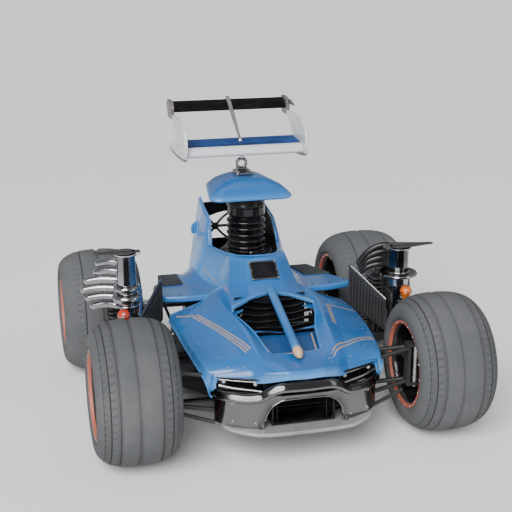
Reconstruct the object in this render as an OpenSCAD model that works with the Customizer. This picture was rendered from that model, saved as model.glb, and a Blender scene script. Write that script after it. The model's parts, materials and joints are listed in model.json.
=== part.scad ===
// Open-wheel kart: tube frame, steered front wheels, live rear axle driven by two side engines,
// blue nose and cockpit cowl, and a wing carried on a sliding mast inside a bellows.
// Millimetres. The front of the kart faces -Y, +X is its left side, and the ground is z = 0.

/* [Chassis] */
// Distance between the front and rear axles
wheelbase = 872; // [860:1:900]
// Distance between the centres of the front tyres
front_track = 1114; // [1110:1:1150]
// Distance between the centres of the rear tyres
rear_track = 1134; // [1130:1:1160]
// Height of the top face of the floor tray
floor_top = 116; // [112:1:118]
// Distance between the two main rails
rail_spacing = 400; // [396:1:404]
// Radius of the frame tubes
tube_r = 15; // [12:1:16]

/* [Wheels] */
// Outer radius of the front tyres
front_tyre_r = 250; // [245:1:254]
// Width of the front tyres
front_tyre_w = 286; // [270:1:290]
// Outer radius of the rear tyres
rear_tyre_r = 246; // [240:1:250]
// Width of the rear tyres
rear_tyre_w = 316; // [300:1:320]
// Radius of the front stub axles
stub_r = 12; // [10:0.5:14]
// Radius of the rear axle
axle_r = 20; // [16:0.5:22]

/* [Steering] */
// Distance of each kingpin from the centre line
kingpin_x = 470; // [465:1:475]
// Radius of the kingpins
kingpin_r = 8; // [6:0.5:9]
// Length of the steering arms
steer_arm = 95; // [90:1:98]
// Height of the steering rack
rack_z = 250; // [246:1:254]

/* [Drive] */
// Root radius of the sprockets on the engines
drive_sprocket_r = 30; // [26:1:32]
// Root radius of the sprockets on the rear axle
axle_sprocket_r = 60; // [56:1:64]
// Sideways place of the chains
chain_x = 330; // [325:1:335]

/* [Mast and wing] */
// Distance of the mast behind the middle of the wheelbase
mast_y = 221; // [216:1:226]
// Radius of the mast post
mast_r = 20; // [16:1:22]
// Radius of the bellows over its ribs
bellows_r = 77; // [72:1:80]
// Half of the span of the wing
wing_half = 232; // [220:1:240]

/* [Hidden] */

blue = [0.27, 0.5, 0.78];
black = [0.08, 0.08, 0.09];
steel = [0.75, 0.76, 0.78];
rubber = [0.33, 0.34, 0.35];
tan = [0.82, 0.62, 0.48];

run_gap = 0.05; // radial clearance of a running fit
gap = 0.5; // clearance between pieces that don't touch
front_y = -wheelbase / 2 + (front_tyre_r - rear_tyre_r) / 2;
rear_y = wheelbase / 2 + (front_tyre_r - rear_tyre_r) / 2;
front_z = front_tyre_r;
rear_z = rear_tyre_r;
rail_x = rail_spacing / 2;
rail_z = floor_top + gap + tube_r;
rail_top = rail_z + tube_r + gap;
cross_ys = [-460, -338, -20, mast_y, 340, 470];
steer_y = front_y + steer_arm;
yoke_half = 81; // half of the height of the knuckle's yoke
ear_t = 12; // thickness of the yoke's ears
engine_y = 60; // crankshaft
engine_z = 250;
engine_inner_x = 450;
engine_outer_x = 590;
shaft_r = 12; // engine output shafts
stack_x = 522;
stack_y = -100;
rim_ratio = 0.6; // rim seat radius over tyre radius
$fn = 48;

// ---------- helpers ----------

module both_sides() {
    children();
    mirror([1, 0, 0]) children();
}

// Round bar from point a to point b
module bar(a, b, r) {
    d = b - a;
    translate(a) rotate([0, acos(d[2] / norm(d)), atan2(d[1], d[0])]) cylinder(h = norm(d), r = r);
}

// Solid turned about an axis along +X through the point at
module turned_x(at) {
    translate(at) rotate([0, 90, 0]) rotate_extrude() children();
}

// Plate drawn in the Y-Z plane, from x = from to x = to
module side_plate(from, to) {
    translate([from, 0, 0]) rotate([90, 0, 90]) linear_extrude(to - from) children();
}

// Left-hand half outline and its mirror image, as one closed outline
function mirrored(half) = concat(half, [for (i = [len(half) - 1 : -1 : 0]) [-half[i][0], half[i][1]]]);

function power_sign(v, k) = sign(v) * pow(abs(v), k);

// ---------- wheels ----------

// Half-section of a tyre as [radius, offset along the axle], a squared oval above the bead
function tyre_arc(r, w, k, inset, limit) = [for (a = [-limit : 10 : limit])
    [0.64 * r + (0.36 * r - inset) * pow(abs(cos(a)), 2 / k), power_sign(sin(a), 2 / k) * (w / 2 - inset)]];

module tyre(r, w) {
    seat = rim_ratio * r;
    bead = 0.4 * w;
    wall = 13;
    groove = 9;
    outside = tyre_arc(r, w, 2.6, 0, 90);
    inside = tyre_arc(r, w, 2.6, wall, 60);
    turned_x([0, 0, 0]) difference() {
        polygon(concat([[seat, -bead], [seat + 10, -bead]], outside,
            [[seat + 10, bead], [seat, bead], [seat, bead - 2 * wall]],
            [for (i = [len(inside) - 1 : -1 : 0]) inside[i]], [[seat, 2 * wall - bead]]));
        for (place = [[-0.24, 4], [0, 8], [0.24, 4]])
            translate([r - groove, place[0] * w - place[1]]) square([2 * groove, 2 * place[1]]);
    }
}

module rim(r, w, hub_r, hub_from, hub_to) {
    seat = rim_ratio * r - 0.2;
    half = 0.4 * w;
    flange = 9;
    barrel = 6;
    disc_x = 10;
    disc_t = 10;
    turned_x([0, 0, 0]) polygon([[seat, -half - gap], [seat + flange - gap, -half - gap],
        [seat + flange - gap, -half - 4], [seat - barrel, -half - 4], [seat - barrel - 8, -half + 30],
        [seat - barrel - 8, half - 30], [seat - barrel, half + 4], [seat + flange - gap, half + 4],
        [seat + flange - gap, half + gap], [seat, half + gap], [seat, half - 26], [seat - 8, half - 30],
        [seat - 8, -half + 30], [seat, -half + 26]]);
    difference() {
        union() {
            translate([disc_x, 0, 0]) rotate([0, 90, 0]) cylinder(h = disc_t, r = seat - barrel - 7);
            translate([hub_from, 0, 0]) rotate([0, 90, 0]) cylinder(h = hub_to - hub_from, r = hub_r + 16);
        }
        translate([hub_from - 1, 0, 0]) rotate([0, 90, 0]) cylinder(h = hub_to - hub_from + 2, r = hub_r);
        for (i = [0 : 5]) rotate([60 * i, 0, 0]) translate([disc_x - 1, 0, 0.58 * seat + 8])
            rotate([0, 90, 0]) cylinder(h = disc_t + 2, r = 0.21 * seat);
    }
}

module front_tyre() {
    color(rubber) translate([front_track / 2, front_y, front_z]) tyre(front_tyre_r, front_tyre_w);
}

module front_rim() {
    color(black) translate([front_track / 2, front_y, front_z])
        rim(front_tyre_r, front_tyre_w, stub_r + run_gap, -50, 40);
}

module front_tyre_left() { front_tyre(); }
module front_tyre_right() { mirror([1, 0, 0]) front_tyre(); }
module front_rim_left() { front_rim(); }
module front_rim_right() { mirror([1, 0, 0]) front_rim(); }

module rear_tyres() {
    color(rubber) both_sides() translate([rear_track / 2, rear_y, rear_z]) tyre(rear_tyre_r, rear_tyre_w);
}

module rear_rims() {
    color(black) both_sides() translate([rear_track / 2, rear_y, rear_z])
        rim(rear_tyre_r, rear_tyre_w, axle_r + run_gap, -60, 30);
}

// ---------- frame ----------

module floor_tray() {
    color(black) translate([0, 0, floor_top - 4]) linear_extrude(4) polygon(mirrored([[0, -530],
        [200, -530], [240, -480], [250, -240], [350, -120], [350, 250], [250, 400], [250, 500], [0, 500]]));
}

module side_rails() {
    color(black) both_sides() bar([rail_x, -488, rail_z], [rail_x, 488, rail_z], tube_r);
}

module cross_tubes() {
    inner = rail_x - tube_r - gap;
    color(black) for (y = cross_ys) bar([-inner, y, rail_z], [inner, y, rail_z], tube_r - 1);
    color(black) both_sides() for (y = [-20, 130])
        bar([rail_x + tube_r + gap, y, rail_z], [engine_outer_x - 20, y, rail_z], tube_r - 1);
}

// Uprights that carry the nose, the cowl and the engines
module body_posts() {
    post_r = 9;
    color(black) both_sides() {
        for (place = [[rail_x, -250, 345], [rail_x, -60, 380], [rail_x - 30, 340, 372]])
            bar([place[0], place[1], rail_top], [place[0], place[1], place[2]], post_r);
        for (y = [-20, 130]) bar([engine_inner_x + 70, y, rail_top], [engine_inner_x + 70, y, 170], post_r + 6);
    }
}

// Four outrigger tubes a side, the brackets they bolt to and the yoke that holds the kingpin
module front_arms() {
    spread = [-40, 70]; // brackets ahead of and behind the axle
    level = 62; // arms above and below the axle
    web_x = kingpin_x - 38;
    bracket_x = rail_x + tube_r + gap;
    color(black) both_sides() {
        for (dy = spread) {
            translate([bracket_x, front_y + dy - 8, floor_top + gap]) cube([14, 16, 180]);
            for (z = [front_z - level, front_z + level])
                bar([bracket_x + 14 + gap, front_y + dy, z - 30], [web_x - 4, front_y + sign(dy) * 12, z], 8);
        }
        difference() {
            union() {
                translate([web_x, front_y - 18, front_z - yoke_half]) cube([12, 36, 2 * yoke_half]);
                for (z = [front_z - yoke_half, front_z + yoke_half - ear_t]) {
                    translate([web_x, front_y - 18, z]) cube([38, 36, ear_t]);
                    translate([kingpin_x, front_y, z]) cylinder(h = ear_t, r = 18);
                }
            }
            translate([kingpin_x, front_y, 0]) cylinder(h = 2 * front_z, r = kingpin_r + run_gap);
        }
    }
}

module kingpins() {
    head = 7;
    color(steel) both_sides() translate([kingpin_x, front_y, front_z - yoke_half - head]) {
        cylinder(h = 2 * (yoke_half + head), r = kingpin_r);
        cylinder(h = head - gap, r = kingpin_r + 6);
        translate([0, 0, 2 * yoke_half + head + gap]) cylinder(h = head - gap, r = kingpin_r + 6);
    }
}

module knuckle() {
    boss_half = yoke_half - ear_t - 1;
    pin_r = 6;
    color(steel) difference() {
        union() {
            translate([kingpin_x, front_y, front_z - boss_half]) cylinder(h = 2 * boss_half, r = 20);
            bar([kingpin_x, front_y, front_z], [front_track / 2 + 60, front_y, front_z], stub_r);
            bar([kingpin_x, front_y, front_z], [front_track / 2 - 53, front_y, front_z], stub_r + 10);
            translate([kingpin_x - 9, front_y, rack_z - 24]) cube([18, steer_arm, 12]);
            translate([kingpin_x, steer_y, rack_z - 24]) cylinder(h = 12, r = 9);
            translate([kingpin_x, steer_y, rack_z - 24]) cylinder(h = 36, r = pin_r);
        }
        translate([kingpin_x, front_y, 0]) cylinder(h = 2 * front_z, r = kingpin_r + run_gap);
    }
}

module stub_nut() {
    color(steel) translate([front_track / 2 + 42, front_y, front_z]) rotate([0, 90, 0]) difference() {
        cylinder(h = 14, r = 19, $fn = 6);
        translate([0, 0, -1]) cylinder(h = 16, r = stub_r + run_gap);
    }
}

module knuckle_left() { knuckle(); }
module knuckle_right() { mirror([1, 0, 0]) knuckle(); }
module stub_nut_left() { stub_nut(); }
module stub_nut_right() { mirror([1, 0, 0]) stub_nut(); }

module rack_bar() {
    color(steel) bar([-300, steer_y, rack_z], [300, steer_y, rack_z], 9);
}

// Each rod ends in a ring that is open round the steering arm's pin
module tie_rods() {
    ring_r = 21;
    color(black) both_sides() {
        bar([300 + gap, steer_y, rack_z], [kingpin_x - ring_r + 2, steer_y, rack_z], 6);
        translate([kingpin_x, steer_y, rack_z - 7]) difference() {
            cylinder(h = 14, r = ring_r);
            translate([0, 0, -1]) cylinder(h = 16, r = ring_r - 6);
        }
    }
}

module steering_actuator() {
    color(black) difference() {
        union() {
            bar([-80, steer_y, rack_z], [80, steer_y, rack_z], 30);
            translate([-45, steer_y - 18, rail_top]) cube([90, 36, rack_z - rail_top]);
            translate([-30, steer_y - 62, rack_z - 26]) cube([60, 60, 52]);
        }
        bar([-90, steer_y, rack_z], [90, steer_y, rack_z], 9 + run_gap);
    }
}

// ---------- rear axle and drive ----------

module rear_axle() {
    color(steel) bar([-rear_track / 2 - 50, rear_y, rear_z], [rear_track / 2 + 50, rear_y, rear_z], axle_r);
}

module axle_nuts() {
    color(steel) both_sides() translate([rear_track / 2 + 31, rear_y, rear_z]) rotate([0, 90, 0]) difference() {
        cylinder(h = 16, r = 32, $fn = 6);
        translate([0, 0, -1]) cylinder(h = 18, r = axle_r + run_gap);
    }
}

// Toothed disc in the Y-Z plane, centred on x = 0
module sprocket(root_r, teeth, bore_r) {
    tooth = 5;
    t = 7;
    translate([-t / 2, 0, 0]) rotate([0, 90, 0]) difference() {
        linear_extrude(t) polygon([for (i = [0 : 4 * teeth - 1])
            (root_r + (i % 4 < 2 ? 0 : tooth)) * [cos(90 * i / teeth), sin(90 * i / teeth)]]);
        translate([0, 0, -1]) cylinder(h = t + 2, r = bore_r);
    }
}

module axle_sprockets() {
    color(steel) both_sides() translate([chain_x, rear_y, rear_z]) {
        sprocket(axle_sprocket_r, 36, axle_r + run_gap);
        difference() {
            translate([4, 0, 0]) rotate([0, 90, 0]) cylinder(h = 20, r = axle_r + 9);
            translate([3, 0, 0]) rotate([0, 90, 0]) cylinder(h = 22, r = axle_r + run_gap);
        }
    }
}

module drive_shaft() {
    color(steel) translate([0, engine_y, engine_z]) {
        bar([chain_x - 20, 0, 0], [engine_inner_x + 18, 0, 0], shaft_r);
        translate([chain_x, 0, 0]) sprocket(drive_sprocket_r, 18, shaft_r - 1);
    }
}

module drive_shaft_left() { drive_shaft(); }
module drive_shaft_right() { mirror([1, 0, 0]) drive_shaft(); }

// Closed loop round both sprockets, as the outline of a round belt of the chain's size
module drive_chains() {
    clearance = 7;
    chain_t = 9;
    color(black) both_sides() side_plate(chain_x - 5, chain_x + 5) difference() {
        chain_line(clearance + chain_t);
        chain_line(clearance);
    }
}

module chain_line(extra) {
    hull() {
        translate([engine_y, engine_z]) circle(r = drive_sprocket_r + extra);
        translate([rear_y, rear_z]) circle(r = axle_sprocket_r + extra);
    }
}

module brake_disc() {
    color(steel) translate([-120, rear_y, rear_z]) rotate([0, 90, 0]) difference() {
        union() {
            cylinder(h = 5, r = 88);
            translate([0, 0, -15]) cylinder(h = 35, r = axle_r + 12);
        }
        translate([0, 0, -16]) cylinder(h = 37, r = axle_r + run_gap);
        for (i = [0 : 9]) rotate([0, 0, 36 * i]) translate([60, 0, -1]) cylinder(h = 7, r = 8);
    }
}

module brake_caliper() {
    pad_gap = 1;
    color([0.7, 0.12, 0.1]) difference() {
        translate([-145, rear_y - 105, rear_z - 40]) cube([55, 62, 80]);
        translate([-120 - pad_gap, rear_y - 95, rear_z - 41]) cube([5 + 2 * pad_gap, 60, 82]);
    }
    color(black) translate([-140, rear_y - 104, rail_top]) cube([45, 12, rear_z - 40 - gap - rail_top]);
}

module rear_bearings() {
    half = 36;
    color(steel) both_sides() difference() {
        translate([rail_x - 16, rear_y - half, rail_top]) cube([32, 2 * half, rear_z + half - rail_top]);
        translate([rail_x - 17, rear_y, rear_z]) rotate([0, 90, 0]) cylinder(h = 34, r = axle_r + run_gap);
    }
}

// ---------- engines ----------

module engine_blocks() {
    color(black) both_sides() {
        difference() {
            union() {
                bar([engine_inner_x, engine_y, engine_z], [engine_outer_x, engine_y, engine_z], 78);
                translate([engine_inner_x, engine_y - 78, 172]) cube([140, 156, 40]);
            }
            bar([engine_inner_x - 1, engine_y, engine_z], [engine_inner_x + 20, engine_y, engine_z],
                shaft_r + run_gap);
        }
        translate([stack_x, stack_y, 300]) cylinder(h = 138, r = 18);
        translate([stack_x - 20, stack_y, 330]) cube([40, 101, 70]);
        translate([stack_x - 6, stack_y - 50, 372]) cube([36, 50, 7]);
    }
}

// Finned barrels with their covers
module engine_heads() {
    fins = 6;
    color(black) both_sides() translate([engine_inner_x + 70, engine_y, 0]) {
        translate([0, 0, 330]) cylinder(h = 112, r = 38);
        for (i = [0 : fins - 1]) translate([-58, -58, 338 + 17 * i]) cube([116, 116, 7]);
        translate([-46, -40, 442]) cube([92, 80, 22]);
    }
}

header_r = 11;

// Six stacked pipes that leave one engine outboard, and four on the other that run inboard
module header_pipes() {
    right_reach = [70, 78, 118, 130, 118, 98];
    color(steel) for (i = [0 : 5])
        bar([-530, -32, 590 - 35 * i], [-538 - right_reach[i], 2 * i - 12, 578 - 35 * i], header_r);
    color(steel) translate([-524, -32, 400 + gap]) cylinder(h = 204, r = 13);
    color(black) for (i = [0 : 3])
        bar([516, -10 + 5 * i, 570 - 28 * i], [400 + 6 * i, 16 + 4 * i, 505 - 14 * i], header_r);
    color(black) translate([524, -12, 400 + gap]) cylinder(h = 180, r = 13);
}

// Finned plate in front of each engine, its top edge falling towards the front wheel
module side_radiators() {
    length = 170;
    plate = 8;
    color(black) both_sides() translate([376, 44, 0]) rotate([0, 0, -50]) {
        rotate([90, 0, 0]) linear_extrude(plate) polygon([[0, 320], [0, 478], [length, 372], [length, 246]]);
        for (i = [1 : 6]) translate([24 * i - 6, -plate - 7, 0]) rotate([90, 0, 90]) linear_extrude(4)
            polygon([[0, 326 - 11 * i], [0, 468 - 15 * i], [7 - gap, 468 - 15 * i], [7 - gap, 326 - 11 * i]]);
    }
}

// Radius and top height of each stack
right_stack = [34, 640];
left_stack = [38, 588];
stack_base = 440;
hinge_out = 14; // from the stack's wall to the flap's hinge
flap_lift = 2; // from the stack's top to the flap

// Flanged tube with two lugs and a pin for the rain flap
module stack(r, low, high) {
    wall = 4;
    rotate_extrude() polygon([[r - wall, low], [r, low], [r, high - 9], [r + 6, high - 7], [r + 7, high - 3],
        [r + 4, high], [r - wall, high]]);
    for (y = [-17, 13]) translate([-r - hinge_out - 4, y, high - 8]) cube([16, 4, 11]);
    flap_hinge(r, high, 16, 2.5);
}

// Round ring with its inner part cut away, so the stack's bore stays open
module torus(ring_r, thick, z, bore) {
    rotate_extrude() difference() {
        translate([ring_r, z]) circle(r = thick, $fn = 24);
        translate([0, z - 2 * thick]) square([bore, 4 * thick]);
    }
}

module stack_right() {
    color(steel) translate([-stack_x, stack_y, 0]) mirror([1, 0, 0]) {
        stack(right_stack[0], stack_base, right_stack[1]);
        torus(34, 10, 506, 32);
        torus(36, 14, 467, 32);
    }
}

module stack_left() {
    color(black) translate([stack_x, stack_y, 0]) {
        stack(left_stack[0], stack_base, left_stack[1]);
        rotate_extrude() polygon([[36, 474], [66, 476], [73, 482], [70, 488], [36, 484]]);
    }
}

// Rain flap: a disc over the stack with a long counterweight tail, hinged at the rim
module flap(r, high, tail) {
    difference() {
        union() {
            translate([0, 0, high + flap_lift]) linear_extrude(4) hull() {
                circle(r = r + 2);
                translate([tail, 0]) circle(r = 12);
            }
            translate([-r - hinge_out - 4, -12, high + flap_lift]) cube([30, 24, 4]);
            flap_hinge(r, high, 12, 5);
        }
        flap_hinge(r, high, 13, 2.5 + run_gap);
    }
}

// Cylinder on the flap's hinge axis, half_len long to each side of the middle
module flap_hinge(r, high, half_len, hinge_r) {
    translate([-r - hinge_out, half_len, high - 1]) rotate([90, 0, 0]) cylinder(h = 2 * half_len, r = hinge_r);
}

module flap_right() {
    color(black) translate([-stack_x, stack_y, 0]) mirror([1, 0, 0]) flap(right_stack[0], right_stack[1], 104);
}

module flap_left() {
    color(black) translate([stack_x, stack_y, 0]) flap(left_stack[0], left_stack[1], 126);
}

module lamps() {
    color([0.9, 0.4, 0.05]) both_sides() {
        translate([541, -140, 418]) sphere(r = 23);
        translate([541, -140, 380]) cylinder(h = 26, r1 = 10, r2 = 17);
    }
}

// ---------- nose ----------

// Cross-sections of the nose's outer surface, front to rear, from the centre line to the skirt
nose_rows = [
    [[0, -626, 318], [60, -626, 320], [126, -590, 300], [165, -562, 290], [298, -520, 268], [300, -508, 232]],
    [[0, -622, 344], [60, -624, 346], [130, -584, 330], [165, -556, 320], [294, -504, 310], [304, -496, 240]],
    [[0, -494, 352], [92, -494, 364], [140, -490, 382], [185, -470, 362], [316, -474, 330], [320, -486, 316]],
    [[0, -348, 376], [112, -348, 394], [150, -340, 418], [205, -310, 388], [338, -300, 346], [342, -296, 322]],
    [[0, -170, 446], [146, -160, 414], [178, -150, 432], [228, -110, 404], [346, -120, 352], [350, -116, 328]],
    [[0, 24, 452], [120, 24, 446], [170, 24, 432], [228, 24, 384], [347, 24, 344], [350, 24, 318]]];
nose_t = 5;
half_width = 345;

function full_row(row) = concat([for (i = [len(row) - 1 : -1 : 1]) [-row[i][0], row[i][1], row[i][2]]], row);
// Point moved down by the skin's thickness, and inwards by side at the widest place, which is wide from the middle
function inner_point(p, t, side, wide) = [p[0] * (1 - side / wide), p[1], p[2] - t];

// Closed skin between the outer sections and the same sections moved inwards
module skin(rows, t, side, wide_at) {
    wide = len(rows[0]);
    deep = len(rows);
    outer = [for (row = rows) for (p = row) p];
    inner = [for (row = rows) for (p = row) inner_point(p, t, side, wide_at)];
    n = len(outer);
    quads = [for (j = [0 : deep - 2]) for (i = [0 : wide - 2])
        [j * wide + i, j * wide + i + 1, (j + 1) * wide + i + 1, (j + 1) * wide + i]];
    edge = concat([for (i = [0 : wide - 1]) i], [for (j = [1 : deep - 1]) j * wide + wide - 1],
        [for (i = [wide - 2 : -1 : 0]) (deep - 1) * wide + i], [for (j = [deep - 2 : -1 : 1]) j * wide]);
    m = len(edge);
    polyhedron(concat(outer, inner), concat(
        [for (q = quads) [q[0], q[3], q[2]]], [for (q = quads) [q[0], q[2], q[1]]],
        [for (q = quads) [q[0] + n, q[2] + n, q[3] + n]], [for (q = quads) [q[0] + n, q[1] + n, q[2] + n]],
        [for (i = [0 : m - 1]) [edge[i], edge[(i + 1) % m], edge[(i + 1) % m] + n]],
        [for (i = [0 : m - 1]) [edge[i], edge[(i + 1) % m] + n, edge[i] + n]]));
}

vent_half = [[0, -156], [96, -180], [148, -206], [142, -250], [112, -345], [0, -345]];
panel_half = [[0, -351], [110, -351], [90, -490], [0, -490]];

// Half outline of the hole that the cowl stands in, through the nose and between the pods
cowl_half = [[0, -206], [162, -206], [160, -60], [163, 40], [178, 104], [190, 164], [202, 250], [209, 300],
    [210, 350], [206, 420], [166, 528], [0, 528]];

module nose_shell() {
    color(blue) difference() {
        skin([for (row = nose_rows) full_row(row)], nose_t, nose_t, half_width);
        translate([0, 0, 300]) linear_extrude(300) polygon(mirrored(vent_half));
        translate([0, 0, 300]) linear_extrude(300) polygon(mirrored(panel_half));
        translate([0, 0, 300]) linear_extrude(300) offset(delta = gap) polygon(mirrored(cowl_half));
        both_sides() translate([170, -600, 262]) cube([114, 118, 40]);
    }
}

module nose_panel() {
    color([0.13, 0.32, 0.55]) translate([0, -351, 362]) rotate([9, 0, 0]) linear_extrude(3)
        polygon(mirrored([[0, -1], [104, -1], [86, -134], [0, -134]]));
}

module louvre_slats() {
    slats = 4;
    half = [98, 124, 118, 106];
    color(black) for (i = [0 : slats - 1]) translate([0, -206 - 38 * i, 414 - 13 * i]) rotate([-32, 0, 0])
        translate([-half[i], -18, -3]) cube([2 * half[i], 36, 6]);
}

rod_rear = [0, -160, 475];
rod_front = [0, -508, 376];

module spine_rod() {
    color(blue) bar(rod_front, rod_rear, 16);
}

module spine_tip() {
    d = rod_front - rod_rear;
    color(tan) translate(rod_front) rotate([0, acos(d[2] / norm(d)), atan2(d[1], d[0])])
        rotate_extrude() polygon(concat([[0, gap]], [for (a = [0 : 10 : 80]) [17 * cos(a), gap + 46 * sin(a)]],
            [[0, gap + 46]]));
}

// Dark lens box behind each opening in the nose's front edge
module headlights() {
    color([0.15, 0.16, 0.18]) both_sides() hull() {
        translate([176, -540, 268]) cube([4, 30, 28]);
        translate([276, -512, 268]) cube([4, 24, 30]);
    }
}

fascia_half = [[0, -622], [130, -612], [230, -572], [276, -538], [290, -504]];

module fascia_solid(inset) {
    polygon(mirrored([for (p = fascia_half) [p[0] == 0 ? 0 : p[0] - inset, p[1] + inset]]));
}

module bumper_fascia() {
    bottom = 142;
    top = 268;
    color(black) difference() {
        translate([0, 0, bottom]) linear_extrude(top - bottom) fascia_solid(0);
        translate([0, 0, bottom - 1]) linear_extrude(top - bottom + 2) fascia_solid(8);
        lip(lip_r + gap);
        translate([0, -700, 0]) rotate([-90, 0, 0]) linear_extrude(120) polygon(concat([[-132, -bottom + 1],
            [-132, -bottom - 40]], [for (a = [0 : 10 : 180]) [-80 * cos(a), -bottom - 62 - 44 * sin(a)]],
            [[132, -bottom - 40], [132, -bottom + 1]]));
    }
}

// Rolled upper lip: a round bar along each straight of the fascia's top edge
lip_points = [[0, -626, 286], [66, -624, 288], [168, -598, 268], [232, -566, 260], [272, -536, 259]];
lip_r = 16;

module lip(r) {
    both_sides() {
        for (i = [0 : len(lip_points) - 2]) bar(lip_points[i], lip_points[i + 1], r);
        for (i = [1 : len(lip_points) - 1]) translate(lip_points[i]) sphere(r = r + 1);
    }
}

module bumper_lip() {
    color(black) lip(lip_r);
}

module intake_duct() {
    color(black) difference() {
        translate([-112, -600, 146]) cube([224, 98, 96]);
        translate([-104, -601, 154]) cube([208, 92, 80]);
    }
}

module splitter() {
    color([0.35, 0.36, 0.38]) translate([0, 0, 128]) linear_extrude(12) polygon(mirrored([[0, -652],
        [120, -650], [180, -636], [246, -586], [274, -532], [280, -496], [264, -496], [0, -530]]));
}

module splitter_stays() {
    color(black) both_sides() bar([288, -496, 134], [405, -472, 168], 7);
}

// ---------- side pods and cowl ----------

pod_half = [[210, 28], [300, 34], [385, 62], [390, 84], [346, 290], [318, 468], [190, 468], [212, 280], [213, 190]];

module side_pods() {
    pod_t = 26;
    color(blue) both_sides() difference() {
        translate([0, 62, 408]) rotate([-7, 0, 0]) translate([0, -62, -pod_t]) linear_extrude(pod_t)
            polygon(pod_half);
        translate([0, 0, 300]) linear_extrude(200) offset(delta = gap) polygon(mirrored(cowl_half));
    }
}

module grip_pads() {
    color([0.3, 0.31, 0.33]) both_sides() translate([0, 62, 408 + gap]) rotate([-7, 0, 0])
        translate([0, -62, 0]) linear_extrude(5) polygon([[356, 236], [346, 300], [322, 452], [246, 452], [252, 250]]);
}

// Cross-sections of the cowl's outer surface, front to rear: centre line, rim of the cockpit, outer top edge, foot
cowl_rows = [
    [[0, -154, 464], [75, -168, 452], [156, -203, 431], [158, -200, 400]],
    [[0, -95, 492], [68, -92, 484], [133, -70, 457], [150, -54, 398]],
    [[0, -20, 556], [60, -8, 556], [109, 38, 552], [158, 40, 394]],
    [[0, 100, 548], [98, 100, 548], [115, 100, 545], [172, 104, 392]],
    [[0, 160, 540], [114, 160, 538], [127, 160, 538], [184, 164, 390]],
    [[0, 250, 537], [133, 250, 537], [146, 250, 537], [196, 250, 388]],
    [[0, 286, 597], [129, 286, 597], [141, 286, 597], [203, 287, 386]],
    [[0, 311, 628], [126, 311, 628], [138, 311, 628], [204, 310, 386]],
    [[0, 417, 648], [125, 417, 648], [135, 417, 648], [200, 410, 386]],
    [[0, 522, 667], [120, 522, 667], [131, 522, 667], [160, 525, 386]]];

cowl_t = 7;

// Half outline of the cockpit, open upwards and to the rear
cockpit_half = [[0, 14], [40, 20], [74, 44], [95, 92], [114, 160], [127, 218], [133, 250], [129, 286], [126, 311],
    [125, 417], [121, 560], [0, 560]];

module tower_cowl() {
    color(blue) difference() {
        skin([for (row = cowl_rows) full_row(row)], cowl_t, 1.3 * cowl_t, 170);
        translate([0, 0, 300]) linear_extrude(500) polygon(mirrored(cockpit_half));
        window_place() translate([-54, 4, -20]) cube([108, 84, 40]);
    }
    color(blue) translate(mirror_at) {
        translate([-6, -16, -34]) cube([34, 12, 10]);
        translate([0, -10, -34]) cylinder(h = 24, r = 2.5);
    }
}

// Frame with its x axis across the hood and its y axis up the slope
module window_place() {
    translate([0, -96, 491]) rotate([40.5, 0, 0]) children();
}

module cockpit_window() {
    color(black) window_place() {
        difference() {
            translate([-53, 5, -6]) cube([106, 82, 10]);
            translate([-46, 12, -7]) cube([92, 68, 12]);
        }
        translate([-46 + gap, 12 + gap, -4]) cube([92 - 2 * gap, 68 - 2 * gap, 4]);
    }
}

// Struts round two hubs in the open back of the cowl, with the arched panel above and the plain one below
module tower_brace() {
    back_y = 496;
    hub_x = 66;
    color(black) {
        both_sides() for (end = [[8, 600], [8, 492], [118, 600], [118, 492]])
            bar([hub_x, back_y, 548], [end[0], back_y, end[1]], 5);
        bar([-125, back_y, 548], [125, back_y, 548], 6);
        translate([0, back_y + 4, 0]) rotate([90, 0, 0]) linear_extrude(8) polygon(mirrored([[0, 612], [60, 604],
            [118, 580], [118, 650], [0, 656]]));
        translate([-138, back_y - 4, 400]) cube([276, 8, 96]);
    }
}

mirror_at = [-176, 320, 600];

module side_mirror() {
    color(blue) translate(mirror_at) {
        translate([0, -6, 0]) rotate([90, 0, 0]) linear_extrude(7)
            polygon([[-3, -22], [-3, 12], [-9, 24], [-22, 14], [-28, -8], [-24, -28]]);
    }
    color(blue) translate(mirror_at - [0, 10, 22]) difference() {
        cylinder(h = 46, r = 5);
        translate([0, 0, -1]) cylinder(h = 16, r = 2.5 + run_gap);
    }
}

// ---------- mast, cap and wing ----------

housing_top = 520;
mast_top = 812;

module mast_housing() {
    color(black) translate([0, mast_y, 0]) difference() {
        union() {
            translate([0, 0, rail_top]) cylinder(h = housing_top - rail_top, r = 34);
            translate([0, 0, rail_top]) cylinder(h = 14, r = 60);
            translate([0, 0, housing_top - 14]) cylinder(h = 14, r = 104);
        }
        translate([0, 0, rail_top - 1]) cylinder(h = housing_top, r = mast_r + run_gap);
    }
}

// Ribbed sleeve: flat foot, rounded ribs and a smooth collar under the cap
module bellows() {
    ribs = 5;
    pitch = 25;
    foot = housing_top + gap;
    rib_base = foot + 14;
    collar = rib_base + ribs * pitch;
    root_r = bellows_r - 15;
    wall = 5;
    top = 758;
    color(black) translate([0, mast_y, 0]) rotate_extrude() polygon(concat(
        [[root_r - wall, foot], [96, foot], [96, foot + 7], [root_r + 6, rib_base]],
        [for (i = [0 : ribs - 1], a = [-90 : 30 : 90])
            [root_r + 15 * cos(a), rib_base + pitch * i + 10.5 + 8.5 * sin(a)]],
        [[root_r, collar], [bellows_r - 3, collar + 10], [bellows_r - 3, top - 22], [root_r, top],
            [root_r - wall, top]]));
}

module mast_post() {
    color(steel) translate([0, mast_y, 0]) {
        translate([0, 0, 300]) cylinder(h = mast_top - gap - 300, r = mast_r);
        translate([0, 0, 762]) cylinder(h = 8, r = bellows_r);
    }
}

// Outlines of the cap from its rim to its crown: half width, front, back, height
cap_taper = 0.8; // half width at the rear over half width at the front
cap_rings = [[162, 104, 404, 748], [164, 100, 408, 756], [128, 138, 372, 790], [66, 190, 330, 816]];

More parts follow.
